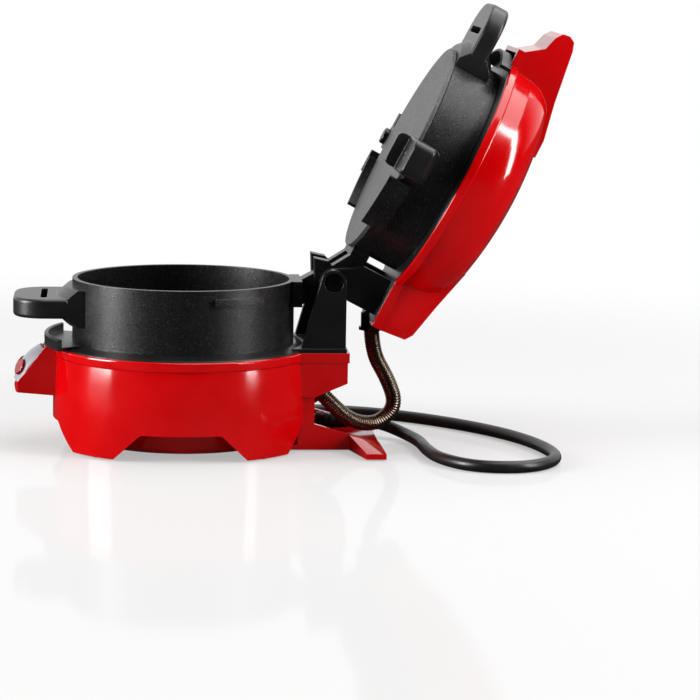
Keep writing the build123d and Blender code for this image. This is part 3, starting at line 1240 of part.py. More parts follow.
MAINS_ROUTE = [
    (REAR_BLOCK_X + RELIEF_LENGTH - RELIEF_SUNK, 12.0, 9.0),
    (97.0, 12.0, 9.0),
    (107.0, 11.0, 6.4),
    (116.0, 3.0, 3.4),
    (121.0, -16.0, 3.2),
    (122.0, -40.0, 3.2),
    (126.0, -64.0, 3.2),
    (141.0, -86.0, 3.2),
    (168.0, -88.0, 3.2),
    (186.0, -66.0, 3.2),
    (184.0, -34.0, 3.2),
    (172.0, 0.0, 3.2),
    (150.0, 32.0, 3.2),
    (118.0, 62.0, 3.2),
    (84.0, 78.0, 3.2),
    (COIL_X + 26, COIL_Y - COIL_RADIUS - COIL_STEP / 2, CORD_RADIUS + COIL_LIFT),
    (COIL_X, COIL_Y - COIL_RADIUS - COIL_STEP / 2, CORD_RADIUS + COIL_LIFT),
]


def swept_tube(path, radius):
    """Round tube along a path."""
    plane = Plane(origin=path @ 0, z_dir=path % 0)
    return sweep(plane * Circle(radius), path=path)


def mains_cord():
    """Free stretch of the mains lead, from its strain relief to the coil."""
    path = smooth_path(MAINS_ROUTE)
    print("mains cord: length %.1f, radii %s" % (path.length, [round(r) for r in arc_radii(MAINS_ROUTE)]))
    return swept_tube(path, CORD_RADIUS)


def eased(turn, start):
    """Goes smoothly from 0 to 1 over the half turn that begins at the start."""
    share = min(max((turn - start) * 2, 0), 1)
    return (1 - math.cos(math.pi * share)) / 2


def coil_point(turn):
    """Point of the put-away coil after some turns: in on the floor, up a layer, up again to the plug."""
    start = COIL_RADIUS + COIL_STEP / 2
    low = CORD_RADIUS + COIL_LIFT
    radius = start - COIL_STEP * eased(turn, 0.5) + COIL_STEP * eased(turn, 1.5) / 2
    height = low + COIL_RISE * eased(turn, 1.0) + COIL_END_RISE * eased(turn, 1.5)
    angle = -math.pi / 2 - 2 * math.pi * turn
    return Vector(COIL_X + radius * math.cos(angle), COIL_Y + radius * math.sin(angle), height)


def biarc(p0, t0, p1, t1):
    """Two arcs that join two points with given directions."""
    v = p1 - p0
    t = t0 + t1
    a = 2 * (1 - t0.dot(t1))
    b = v.dot(t)
    d = (-b + math.sqrt(b * b + a * v.dot(v))) / a
    joint = (p0 + t0 * d + p1 - t1 * d) / 2
    return [TangentArc(p0, joint, tangent=t0), TangentArc(p1, joint, tangent=t1 * -1)]


def coil_path():
    """The coil's centre line, in arcs."""
    quarters = int(COIL_TURNS * 4)
    step = 0.001
    edges = []
    for i in range(quarters):
        a = i / 4
        b = (i + 1) / 4
        ta = (coil_point(a + step) - coil_point(a)).normalized()
        tb = (coil_point(b) - coil_point(b - step)).normalized()
        if i == 0:
            ta = Vector(-1, 0, 0)
        edges += biarc(coil_point(a), ta, coil_point(b), tb)
    return Wire(edges)


def cord_coil():
    """Put-away length of the lead as one unbroken coil."""
    path = coil_path()
    count = 400
    points = [path @ (i / count) for i in range(count + 1)]
    turn = path.length / COIL_TURNS
    apart = int(count * 0.5 * turn / path.length)
    gap = min((points[i] - points[j]).length for i in range(count) for j in range(i + apart, count + 1))
    print("coil: length %.1f, least gap to itself %.2f" % (path.length, gap - 2 * CORD_RADIUS))
    return swept_tube(path, CORD_RADIUS)


def coil_end():
    """Where the coil ends, and its direction there."""
    end = coil_point(COIL_TURNS)
    return end, (end - coil_point(COIL_TURNS - 0.001)).normalized()


def along_end(shape_from, shape_to, shape):
    """Place a shape modelled along +X from the coil's end."""
    end, direction = coil_end()
    plane = Plane(origin=end, x_dir=direction, z_dir=(0, 0, 1))
    return plane * Pos((shape_from + shape_to) / 2, 0, 0) * shape


def plug_body():
    """Two-blade plug with its own tapered relief."""
    relief = along_end(0, 18, Rot(0, 90, 0) * Cone(CORD_RADIUS + 0.9, 5.2, 18))
    body = along_end(17, 41, fillet(Box(24, 22, 15).edges().filter_by(Axis.X), 4.5))
    body = body + relief
    face = along_end(40, 42.5, fillet(Box(2.5, 25, 17).edges().filter_by(Axis.X), 5.0))
    return body + face


def plug_blades():
    """Two flat blades in the plug."""
    blades = []
    for side in (-BLADE_Y, BLADE_Y):
        blade = Pos(0, side, 0) * Box(BLADE_TO - BLADE_FROM, BLADE_THICK, BLADE_WIDTH)
        blade -= Pos(7.5, side, 0) * Rot(90, 0, 0) * Cylinder(1.5, 5)
        blades.append(along_end(BLADE_FROM, BLADE_TO, blade))
    return Compound(children=blades)


def plug_with_slots():
    """Plug body with room for its blades."""
    body = plug_body()
    for side in (-BLADE_Y, BLADE_Y):
        slot = Pos(0, side, 0) * Box(BLADE_TO - BLADE_FROM, BLADE_THICK, BLADE_WIDTH)
        body -= along_end(BLADE_FROM, BLADE_TO, slot)
    return body


def cord_tie():
    """Band round the coil's turns."""
    low = 0.05
    thick = COIL_LIFT - 0.15
    high = CORD_RADIUS * 4 + 0.6 + COIL_LIFT + 0.2
    inner = COIL_RADIUS - COIL_STEP / 2 - CORD_RADIUS - 0.4
    outer = COIL_RADIUS + COIL_STEP / 2 + CORD_RADIUS + 0.4
    hole = block(inner, outer, -20, 20, low + thick, high)
    tie = block(inner - thick, outer + thick, -3, 3, low, high + thick) - hole
    return Pos(COIL_X, COIL_Y, 0) * tie.rotate(Axis.Z, 90)


def strain_relief():
    """Tapered sleeve where the lead leaves the base."""
    x = CORD_EXIT[0]
    y = CORD_EXIT[1]
    z = CORD_EXIT[2]
    length = RELIEF_LENGTH - RELIEF_SUNK
    sleeve = Pos(x + length / 2, y, z) * Rot(0, 90, 0) * Cone(RELIEF_RADIUS - 0.2, CORD_RADIUS + 0.6, length)
    sleeve += Pos(x - 2, y, z) * Rot(0, 90, 0) * Cylinder(RELIEF_RADIUS, 4.4)
    for ring in range(4):
        groove = Cylinder(RELIEF_RADIUS + 1, 1.1) - Cylinder(CORD_RADIUS + 0.35, 2)
        sleeve -= Pos(x + 3.2 + ring * 3.6, y, z) * Rot(0, 90, 0) * groove
    return sleeve


def build_all():
    """Every node, at rest."""
    upper_back = UPPER_PLATE_FACE + HEATER_DISC
    still = {
        "base_housing": base_housing(),
        "rubber_feet": rubber_feet(),
        "bottom_cover": bottom_cover(),
        "base_screws": base_screws(),
        "control_panel": control_panel(),
        "power_light_lens": lens(-LENS_ANGLE),
        "preheat_light_lens": lens(LENS_ANGLE),
        "indicator_board": indicator_board(),
        "indicator_lamps": indicator_lamps(),
        "top_deck": top_deck(),
        "pivot_pin": pivot_pin(),
        "pivot_screws": pivot_screws(),
        "lower_heating_plate": lower_heating_plate(),
        "lower_plate_screws": lower_plate_screws(),
        "lower_heating_element": element(LOWER_ELEMENT_CIRCLE, DECK_Z - ELEMENT_RADIUS, 9.0, -1),
        "thermostat": thermostat(DECK_Z, -1),
        "thermal_fuse": thermal_fuse(FUSE_INSET - LOWER_ELEMENT_CIRCLE, DECK_Z, -1),
        "terminal_block": terminal_block(),
        "lower_ring": lower_ring(),
        "lower_ring_handle": ring_handle(LOWER_HANDLE_Z, LOWER_HANDLE_THICK, True),
        "lower_handle_screws": handle_screws(LOWER_HANDLE_Z, LOWER_HANDLE_THICK, True),
        "conduit": conduit(),
        "conduit_gland_base": conduit_gland(CONDUIT_LOW, CONDUIT_LOW_DIRECTION, 4.5, 5.0),
        "conduit_gland_cover": conduit_gland(CONDUIT_HIGH, CONDUIT_HIGH_DIRECTION, 4.0, 5.0),
        "strain_relief": strain_relief(),
        "mains_cord": mains_cord(),
        "cord_coil": cord_coil(),
        "cord_tie": cord_tie(),
        "plug_body": plug_with_slots(),
        "plug_blades": plug_blades(),
    }
    swinging = {
        "upper_ring": upper_ring(),
        "upper_ring_handle": ring_handle(UPPER_HANDLE_Z, UPPER_HANDLE_THICK, False, PLATE_TOP + AIR),
        "upper_handle_screws": handle_screws(UPPER_HANDLE_Z, UPPER_HANDLE_THICK, False),
        "plate_pivot_screw": plate_pivot_screw(),
        "cooking_plate": cooking_plate(),
        "plate_handle": plate_handle(),
        "plate_handle_screw": plate_handle_screw(),
        "cover_shell": cover_shell(),
        "cover_frame": cover_frame(),
        "cover_screws": cover_screws(),
        "upper_heating_plate": upper_heating_plate(),
        "upper_heating_element": element(UPPER_ELEMENT_CIRCLE, upper_back + ELEMENT_RADIUS, 3.4, 1),
        "upper_thermal_fuse": thermal_fuse(FUSE_INSET - UPPER_ELEMENT_CIRCLE, upper_back, 1),
        "upper_heat_shield": upper_heat_shield(),
        "upper_plate_screws": upper_plate_screws(),
    }
    nodes = dict(still)
    for name, shape in swinging.items():
        nodes[name] = opened(shape)
    return nodes


def main():
    """Write one STEP file per node."""
    os.makedirs("parts", exist_ok=True)
    for name, shape in build_all().items():
        export_step(shape, "parts/%s.step" % name)


main()
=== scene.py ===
# %% [markdown]
# Breakfast sandwich maker, dressed.
#
# The construction comes ready made as a imported frame: every shell, ring, plate, handle and screw is a
# mesh read from model.glb, with its place baked into its points. This lesson gives each surface the
# finish of the real appliance, and models the two flexible things, the ribbed wire conduit and the
# mains lead, along smooth curves.
# Everything is in metres, with +X from the control panel to the hinge and +Z up. Names that end in
# MM are in millimetres, as are the sizes of the lead's coil.

# %% The frame
import json
import math

import bpy
from mathutils import Matrix, Vector


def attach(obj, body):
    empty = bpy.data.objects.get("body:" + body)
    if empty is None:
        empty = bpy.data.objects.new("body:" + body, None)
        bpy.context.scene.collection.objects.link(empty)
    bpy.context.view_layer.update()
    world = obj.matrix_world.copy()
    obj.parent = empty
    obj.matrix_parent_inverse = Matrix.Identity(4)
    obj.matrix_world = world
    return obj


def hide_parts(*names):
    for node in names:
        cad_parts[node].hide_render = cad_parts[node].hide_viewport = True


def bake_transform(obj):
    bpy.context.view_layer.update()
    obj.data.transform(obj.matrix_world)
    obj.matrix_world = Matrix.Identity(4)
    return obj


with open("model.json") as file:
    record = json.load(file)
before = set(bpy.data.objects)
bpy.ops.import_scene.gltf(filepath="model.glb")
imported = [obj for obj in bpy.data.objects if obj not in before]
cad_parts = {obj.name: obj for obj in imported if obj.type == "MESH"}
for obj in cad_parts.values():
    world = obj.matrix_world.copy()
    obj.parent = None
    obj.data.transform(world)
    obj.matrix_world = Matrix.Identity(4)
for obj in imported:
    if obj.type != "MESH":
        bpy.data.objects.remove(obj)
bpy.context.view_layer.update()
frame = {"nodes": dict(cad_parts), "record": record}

# %% [markdown]
# Camera. The photo is a product shot from the user's right side, almost level and slightly turned,
# through a long lens, so near and far parts keep nearly the same scale. A camera can be placed by
# eye, but then every outline is a little off. This one was found by matching known points of the
# appliance with the picture, so it is written as three angles, a distance and one matched point.

# %% Camera
PHOTO_PIXELS = 700
SENSOR_WIDTH = 36.0
PIXELS_PER_METRE = 1956.0
CAMERA_DISTANCE = 1.5
CAMERA_AZIMUTH = math.radians(-3.8)
CAMERA_ELEVATION = math.radians(6.15)
CAMERA_ROLL = math.radians(-0.8)
MATCHED_POINT = Vector((0.060, 0.0, 0.110))
MATCHED_PIXEL = (301.5, 229.5)


def camera_axes(azimuth, elevation, roll):
    """Right, up and back of a camera that looks at the object from this side."""
    back = Vector((
        math.sin(azimuth) * math.cos(elevation),
        -math.cos(azimuth) * math.cos(elevation),
        math.sin(elevation),
    ))
    level = Vector((math.cos(azimuth), math.sin(azimuth), 0.0))
    upright = back.cross(level)
    right = level * math.cos(roll) - upright * math.sin(roll)
    up = level * math.sin(roll) + upright * math.cos(roll)
    return right, up, back


def add_camera():
    right, up, back = camera_axes(CAMERA_AZIMUTH, CAMERA_ELEVATION, CAMERA_ROLL)
    place = MATCHED_POINT + back * CAMERA_DISTANCE
    middle = PHOTO_PIXELS / 2
    across = (middle - MATCHED_PIXEL[0]) / PIXELS_PER_METRE
    down = (middle - MATCHED_PIXEL[1]) / PIXELS_PER_METRE
    aim = MATCHED_POINT + right * across - up * down
    away = (place - aim).normalized()
    side = (right - away * right.dot(away)).normalized()
    above = away.cross(side)
    data = bpy.data.cameras.new("camera")
    data.sensor_width = SENSOR_WIDTH
    data.lens = SENSOR_WIDTH * PIXELS_PER_METRE * CAMERA_DISTANCE / PHOTO_PIXELS
    camera = bpy.data.objects.new("camera", data)
    turned = Matrix((side, above, away)).transposed().to_4x4()
    camera.matrix_world = Matrix.Translation(place) @ turned
    bpy.context.scene.collection.objects.link(camera)
    bpy.context.scene.camera = camera
    return camera


camera = add_camera()
print("camera lens %.1f mm" % camera.data.lens)

# %% [markdown]
# Colours and nodes. A colour is easiest to judge as the hex value that a screen shows, while a
# renderer needs linear light, so one function turns the first into the second. Shader nodes can be
# placed by hand in the shader editor. Here one small function adds any node with its settings and
# links, so that a material reads as a short list of what its surface is made of.

# %% Colour and node helpers
MM = 0.001


def linear(hex_colour):
    """Linear RGBA of an sRGB colour such as #C8102E."""
    channels = [int(hex_colour[i:i + 2], 16) / 255 for i in (1, 3, 5)]
    return [c / 12.92 if c <= 0.04045 else ((c + 0.055) / 1.055) ** 2.4 for c in channels] + [1.0]


def grey(value):
    """A plain number as a colour, for a ramp that gives a roughness or a share."""
    return [value, value, value, 1.0]


def add(tree, kind, inputs=None, stops=(), **settings):
    """One shader node. An input takes a value or a socket; stops are a colour ramp's two ends."""
    node = tree.nodes.new("ShaderNode" + kind)
    for name, value in settings.items():
        setattr(node, name, value)
    for name, value in (inputs or {}).items():
        if isinstance(value, bpy.types.NodeSocket):
            tree.links.new(value, node.inputs[name])
        else:
            node.inputs[name].default_value = value
    for number, (position, colour) in enumerate(stops):
        node.color_ramp.elements[number].position = position
        node.color_ramp.elements[number].color = colour
    return node


def per_metre(millimetres):
    """Scale of a pattern whose cells are this size, on coordinates in metres."""
    return 1000.0 / millimetres


def new_material(name):
    """An empty node material, with the object's own coordinates to draw on."""
    material = bpy.data.materials.new(name)
    material.use_nodes = True
    tree = material.node_tree
    tree.nodes.clear()
    place = add(tree, "TexCoord").outputs["Object"]
    return material, tree, place


def drifting_colour(tree, place, shades, cloud_mm, detail=3.0, spread=(0.30, 0.70)):
    """A colour that drifts between two near shades in soft clouds, and the clouds' own value."""
    cloud = add(tree, "TexNoise", {
        "Vector": place, "Scale": per_metre(cloud_mm), "Detail": detail,
    }).outputs["Fac"]
    ends = [(position, linear(shade)) for position, shade in zip(spread, shades)]
    return add(tree, "ValToRGB", {"Fac": cloud}, ends).outputs["Color"], cloud


print("mid grey #808080 is", round(linear("#808080")[0], 3), "in linear light")

# %% [markdown]
# Glossy red ABS. The shells are injection moulded in a polished mould, so they mirror the studio's
# soft boxes in long clean highlights. A plain glossy shader makes them look like glass, because real
# mouldings aren't optically flat: a very shallow ripple a few millimetres wide, called orange peel,
# makes those highlights swim a little. A thin clear coat stands for the polished skin. The edges of a
# moulding are slightly rounded, so the Bevel node turns the normal there and each edge catches light.
# FINISHES keeps each finish under the name of the record's material slot that it is for.

# %% Red ABS
RED_SHADES = ("#A20002", "#AE0104")
RED_CLOUD_MM = 22.0
RED_IOR = 1.53
PEEL_MM = 5.0
PEEL_DEPTH = 0.03 * MM
SHELL_EDGE = 0.35 * MM
EDGE_SAMPLES = 4


def red_abs():
    material, tree, place = new_material("red_gloss_abs")
    colour, cloud = drifting_colour(tree, place, RED_SHADES, RED_CLOUD_MM)
    wear = add(tree, "ValToRGB", {"Fac": cloud}, [(0.35, grey(0.10)), (0.75, grey(0.17))])
    peel = add(tree, "TexNoise", {"Vector": place, "Scale": per_metre(PEEL_MM), "Detail": 2.0})
    edge = add(tree, "Bevel", {"Radius": SHELL_EDGE}, samples=EDGE_SAMPLES)
    bump = add(tree, "Bump", {
        "Height": peel.outputs["Fac"], "Strength": 0.5, "Distance": PEEL_DEPTH,
        "Normal": edge.outputs["Normal"],
    })
    shader = add(tree, "BsdfPrincipled", {
        "Base Color": colour, "Roughness": wear.outputs["Color"], "IOR": RED_IOR,
        "Coat Weight": 0.10, "Coat Roughness": 0.05, "Normal": bump.outputs["Normal"],
    })
    add(tree, "OutputMaterial", {"Surface": shader.outputs["BSDF"]})
    return material


FINISHES = {"red_plastic": red_abs()}
print("shells:", FINISHES["red_plastic"].name)

# %% [markdown]
# Black ABS and heat-proof nylon. The deck, the hinge uprights and the cover's inner frame are
# moulded in a spark-eroded mould: a fine matt grain that scatters light into a soft sheen. The
# handles are a harder glass-filled nylon with a slightly coarser skin, rubbed smooth on its edges.
# Worn edges could be painted by hand, but comparing the Bevel node's normal with the true one finds
# them wherever they are. The real grain is about 0.1 mm; it is drawn near half a millimetre, which is
# one pixel of the photo, so that it shows.

# %% Black mouldings
BLACK_CLOUD_MM = 14.0
BLACK_IOR = 1.5
EDGE_FACING = 0.90
FLAT_FACING = 0.995


def moulded_black(name, shades, grain_mm, grain_depth, rough, edge_rough, edge_round):
    material, tree, place = new_material(name)
    colour, _ = drifting_colour(tree, place, shades, BLACK_CLOUD_MM, spread=(0.32, 0.70))
    grain = add(tree, "TexNoise", {"Vector": place, "Scale": per_metre(grain_mm), "Detail": 3.0})
    edge = add(tree, "Bevel", {"Radius": edge_round}, samples=EDGE_SAMPLES).outputs["Normal"]
    true = add(tree, "NewGeometry").outputs["True Normal"]
    facing = add(tree, "VectorMath", {0: edge, 1: true}, operation="DOT_PRODUCT").outputs["Value"]
    rubbed = add(tree, "ValToRGB", {"Fac": facing}, [
        (EDGE_FACING, grey(edge_rough)), (FLAT_FACING, grey(rough)),
    ])
    bump = add(tree, "Bump", {
        "Height": grain.outputs["Fac"], "Strength": 0.6, "Distance": grain_depth, "Normal": edge,
    })
    shader = add(tree, "BsdfPrincipled", {
        "Base Color": colour, "Roughness": rubbed.outputs["Color"], "IOR": BLACK_IOR,
        "Specular IOR Level": 0.42, "Normal": bump.outputs["Normal"],
    })
    add(tree, "OutputMaterial", {"Surface": shader.outputs["BSDF"]})
    return material


FINISHES["black_plastic"] = moulded_black(
    "black_abs", ("#0C0C0D", "#121213"), grain_mm=0.45, grain_depth=0.02 * MM,
    rough=0.32, edge_rough=0.22, edge_round=0.4 * MM)
FINISHES["handle_plastic"] = moulded_black(
    "handle_nylon", ("#0F0F10", "#171719"), grain_mm=0.5, grain_depth=0.03 * MM,
    rough=0.34, edge_rough=0.14, edge_round=0.7 * MM)
print("black mouldings:", FINISHES["black_plastic"].name, "and", FINISHES["handle_plastic"].name)

# %% [markdown]
# Non-stick coating. The rings and heating plates are aluminium castings sprayed with a dark
# fluoropolymer that carries mica flakes, so close up they glitter like fine sand. Real flakes could
# be scattered as geometry, at a great cost. Instead the cells of a Voronoi pattern stand for them:
# each has a random value, and only the rare highest ones turn bright and metallic. Real flakes are
# under 0.1 mm; they are drawn at 0.28 mm so that they show.

# %% Non-stick coatings
FLAKE_MM = 0.28
SPRAY_MM = 0.6
SPRAY_DEPTH = 0.03 * MM
COATING_CLOUD_MM = 12.0
COATING_IOR = 1.45
COATING_EDGE = 0.4 * MM
ROUGHNESS_STEP = 0.12


def nonstick(name, shades, flake_colour, flake_share, rough):
    material, tree, place = new_material(name)
    body, _ = drifting_colour(tree, place, shades, COATING_CLOUD_MM, detail=4.0, spread=(0.30, 0.72))
    flakes = add(tree, "TexVoronoi", {"Vector": place, "Scale": per_metre(FLAKE_MM)})
    chance = add(tree, "SeparateColor", {"Color": flakes.outputs["Color"]}).outputs
    bright = add(tree, "ValToRGB", {"Fac": chance["Red"]}, [
        (1.0 - flake_share, grey(0.0)), (1.0, grey(1.0)),
    ]).outputs["Color"]
    colour = add(tree, "Mix", {0: bright, 6: body, 7: linear(flake_colour)}, data_type="RGBA")
    uneven = add(tree, "ValToRGB", {"Fac": chance["Blue"]}, [
        (0.0, grey(rough - ROUGHNESS_STEP)), (1.0, grey(rough + ROUGHNESS_STEP)),
    ])
    spray = add(tree, "TexNoise", {"Vector": place, "Scale": per_metre(SPRAY_MM), "Detail": 3.0})
    grain = add(tree, "Math", {0: spray.outputs["Fac"], 1: chance["Green"]}, operation="ADD")
    edge = add(tree, "Bevel", {"Radius": COATING_EDGE}, samples=EDGE_SAMPLES)
    bump = add(tree, "Bump", {
        "Height": grain.outputs["Value"], "Strength": 0.5, "Distance": SPRAY_DEPTH,
        "Normal": edge.outputs["Normal"],
    })
    shader = add(tree, "BsdfPrincipled", {
        "Base Color": colour.outputs[2], "Metallic": bright, "Roughness": uneven.outputs["Color"],
        "IOR": COATING_IOR, "Specular IOR Level": 0.5, "Normal": bump.outputs["Normal"],
    })
    add(tree, "OutputMaterial", {"Surface": shader.outputs["BSDF"]})
    return material


FINISHES["nonstick_coating"] = nonstick(
    "ring_coating", ("#070708", "#0D0D0E"), flake_colour="#6A6A6E", flake_share=0.04, rough=0.34)
FINISHES["heating_plate"] = nonstick(
    "heating_plate_coating", ("#080809", "#0E0E10"), flake_colour="#5C5C60", flake_share=0.04, rough=0.34)
FINISHES["cooking_plate"] = nonstick(
    "cooking_plate_coating", ("#2F2F30", "#3B3B3C"), flake_colour="#8F8F92", flake_share=0.08, rough=0.5)
print("coatings: flakes of %.2f mm" % FLAKE_MM)

# %% [markdown]
# Small parts. Panel, lenses, lamps, pads, ceramic, lacquered board and cable sheath need a colour
# with slight variation, the right gloss and a grain of the right size. Each could have a material
# function of its own, but they differ in numbers only, so one function makes them all, and each call
# reads as a line of a finish schedule. The lenses are clear red polycarbonate and the lamps are
# glass, so some light passes through them. Grains under half a millimetre wouldn't show.

# %% Other plastics, rubber and ceramic
SMALL_CLOUD_MM = 9.0
SMOOTHER = 0.88
ROUGHER = 1.12


def small_part_finish(name, shades, grain_mm, grain_depth, rough, ior=1.5, transmission=0.0, specular=0.5):
    material, tree, place = new_material(name)
    colour, cloud = drifting_colour(tree, place, shades, SMALL_CLOUD_MM)
    handled = add(tree, "ValToRGB", {"Fac": cloud}, [
        (0.30, grey(rough * SMOOTHER)), (0.70, grey(rough * ROUGHER)),
    ])
    grain = add(tree, "TexNoise", {"Vector": place, "Scale": per_metre(grain_mm), "Detail": 3.0})
    bump = add(tree, "Bump", {
        "Height": grain.outputs["Fac"], "Strength": 0.6, "Distance": grain_depth,
    })
    shader = add(tree, "BsdfPrincipled", {
        "Base Color": colour, "Roughness": handled.outputs["Color"], "IOR": ior,
        "Specular IOR Level": specular, "Transmission Weight": transmission,
        "Normal": bump.outputs["Normal"],
    })
    add(tree, "OutputMaterial", {"Surface": shader.outputs["BSDF"]})
    return material


FINISHES["grey_panel"] = small_part_finish(
    "panel_grey_abs", ("#77787D", "#86878C"), grain_mm=0.5, grain_depth=0.015 * MM, rough=0.40)
FINISHES["lens"] = small_part_finish(
    "lens_red_polycarbonate", ("#7E0609", "#9A080C"), grain_mm=1.5, grain_depth=0.005 * MM,
    rough=0.08, ior=1.58, transmission=0.35)
FINISHES["rubber"] = small_part_finish(
    "foot_rubber", ("#131313", "#1C1C1C"), grain_mm=0.7, grain_depth=0.03 * MM,
    rough=0.75, specular=0.3)
FINISHES["cord_plastic"] = small_part_finish(
    "cord_pvc", ("#0E0E0F", "#161617"), grain_mm=0.8, grain_depth=0.02 * MM,
    rough=0.38, specular=0.4)
FINISHES["ceramic"] = small_part_finish(
    "steatite_ceramic", ("#CFC9B8", "#DED9CB"), grain_mm=0.6, grain_depth=0.02 * MM,
    rough=0.6, ior=1.6)
FINISHES["circuit_board"] = small_part_finish(
    "lacquered_board", ("#0B4A22", "#0F5F2B"), grain_mm=1.2, grain_depth=0.02 * MM, rough=0.3)
FINISHES["lamp"] = small_part_finish(
    "lamp_glass", ("#E08A5A", "#F0A070"), grain_mm=2.0, grain_depth=0.002 * MM,
    rough=0.06, transmission=0.6)
print("finishes so far:", len(FINISHES))

# %% [markdown]
# Metals. Zinc-plated and blackened screws, the nickel-plated blades of the plug and the bronzed hose
# differ in colour and polish. A smooth metal shader looks like chrome, while turned and rolled steel
# has fine marks that run one way, so the noise for them is stretched along Z. Real marks are about
# 0.1 mm apart; they are drawn at 0.35 mm so that they show.

# %% Metals
METAL_CLOUD_MM = 6.0
MARK_MM = 0.35
MARK_STRETCH = 0.12
MARK_SMOOTHER = 0.8
MARK_ROUGHER = 1.25


def bare_metal(name, shades, rough, mark_depth):
    material, tree, place = new_material(name)
    colour, _ = drifting_colour(tree, place, shades, METAL_CLOUD_MM, detail=4.0, spread=(0.32, 0.70))
    stretched = add(tree, "Mapping", {"Vector": place, "Scale": (1.0, 1.0, MARK_STRETCH)})
    marks = add(tree, "TexNoise", {
        "Vector": stretched.outputs["Vector"], "Scale": per_metre(MARK_MM), "Detail": 2.0,
    }).outputs["Fac"]
    polish = add(tree, "ValToRGB", {"Fac": marks}, [
        (0.30, grey(rough * MARK_SMOOTHER)), (0.70, grey(rough * MARK_ROUGHER)),
    ])
    bump = add(tree, "Bump", {"Height": marks, "Strength": 0.4, "Distance": mark_depth})
    shader = add(tree, "BsdfPrincipled", {
        "Base Color": colour, "Metallic": 1.0, "Roughness": polish.outputs["Color"],
        "Normal": bump.outputs["Normal"],
    })
    add(tree, "OutputMaterial", {"Surface": shader.outputs["BSDF"]})
    return material


FINISHES["steel"] = bare_metal(
    "zinc_plated_steel", ("#8F9094", "#B9BABE"), rough=0.32, mark_depth=0.01 * MM)
FINISHES["blackened_steel"] = bare_metal(
    "blackened_steel", ("#2A2A2C", "#3A3A3D"), rough=0.30, mark_depth=0.01 * MM)
FINISHES["brass"] = bare_metal(
    "nickel_plated_brass", ("#B6B2A6", "#D2CEC2"), rough=0.22, mark_depth=0.006 * MM)
FINISHES["conduit_metal"] = bare_metal(
    "bronzed_hose", ("#54493F", "#6A5E52"), rough=0.26, mark_depth=0.006 * MM)
print("metals done,", len(FINISHES), "finishes in all")

# %% [markdown]
# Dressing. The record names a material slot for each node, and FINISHES has a finish for each slot.
# The nodes could be dressed one by one, but one loop can't forget any: look up the node's slot and
# put its finish on.

# %% Dress the nodes
slot_of_node = {part["node"]: part["material_slot"] for part in frame["record"]["subparts"]}


def dress(piece, material):
    piece.data.materials.clear()
    piece.data.materials.append(material)


for node, piece in frame["nodes"].items():
    dress(piece, FINISHES[slot_of_node[node]])
print("dressed", len(frame["nodes"]), "nodes with", len(FINISHES), "finishes")

# %% [markdown]
# Smooth routes. A flexible thing has no corners, so its route is one NURBS curve whose control
# points are the places that it passes near. A Bezier curve could draw it too, but each of its handles
# would have to be set by hand. Order 3 and clamped ends are set after the points, because set before,
# they leave straight runs.

# %% Route helpers
ROUTE_ORDER = 3
ROUTE_RESOLUTION = 16


def route_curve(name, points):
    """A curve object with one open NURBS spline through the route's control points."""
    data = bpy.data.curves.new(name, "CURVE")
    data.dimensions = "3D"
    spline = data.splines.new("NURBS")
    spline.points.add(len(points) - 1)
    for control, point in zip(spline.points, points):
        control.co = (*point, 1.0)
    spline.order_u = ROUTE_ORDER
    spline.use_endpoint_u = True
    spline.resolution_u = ROUTE_RESOLUTION
    curve = bpy.data.objects.new(name, data)
    bpy.context.scene.collection.objects.link(curve)
    return curve


def route_points(curve):
    """Points along the smooth line of a curve that has no thickness yet."""
    mesh = bpy.data.meshes.new_from_object(curve)
    points = [vertex.co.copy() for vertex in mesh.vertices]
    bpy.data.meshes.remove(mesh)
    return points


def even_points(points, step):
    """The same line as points a constant step apart, with its length."""
    length = sum((b - a).length for a, b in zip(points, points[1:]))
    parts = round(length / step)
    spaced = [points[0]]
    walked = 0.0
    for start, end in zip(points, points[1:]):
        run = (end - start).length
        while len(spaced) < parts and len(spaced) * length / parts <= walked + run:
            share = (len(spaced) * length / parts - walked) / run
            spaced.append(start.lerp(end, share))
        walked += run
    spaced.append(points[-1])
    return spaced, length


quarters, whole = even_points([Vector((0, 0, 0)), Vector((0, 0, 1))], 0.25)
print("a line of %.0f m in quarters:" % whole, [round(point.z, 2) for point in quarters])

# %% [markdown]
# Coil. Half of the mains lead is put away on the far side of the appliance, as it would be for
# storage. A coil could be modelled as a ring, but real turns are one length of lead that winds
# inwards, climbs onto itself and ends at the plug, so its points are worked out turn by turn.

# %% Coil of the mains lead
COIL_CENTRE = (14.0, 117.0)
COIL_START_RADIUS = 38.5
COIL_LOW = 3.8
COIL_STEP = 7.0
COIL_RISE = 6.8
COIL_END_RISE = 4.8
COIL_TURNS = 2
COIL_POINTS_PER_TURN = 16


def eased(turn, start):
    """A smooth step from 0 to 1 over half a turn of the coil."""
    share = min(max(2 * (turn - start), 0.0), 1.0)
    return (1 - math.cos(math.pi * share)) / 2


def coil_point(turn):
    """Centre of the lead after this many turns, in mm: inwards, up a layer, then out and up again."""
    radius = COIL_START_RADIUS - COIL_STEP * eased(turn, 0.5) + COIL_STEP / 2 * eased(turn, 1.5)
    height = COIL_LOW + COIL_RISE * eased(turn, 1.0) + COIL_END_RISE * eased(turn, 1.5)
    angle = math.radians(-90 - 360 * turn)
    across = COIL_CENTRE[0] + radius * math.cos(angle)
    along = COIL_CENTRE[1] + radius * math.sin(angle)
    return (across, along, height)


COIL_ROUTE_MM = [
    coil_point(step / COIL_POINTS_PER_TURN) for step in range(COIL_TURNS * COIL_POINTS_PER_TURN + 1)
]
print("coil of", COIL_TURNS, "turns,", len(COIL_ROUTE_MM), "points")

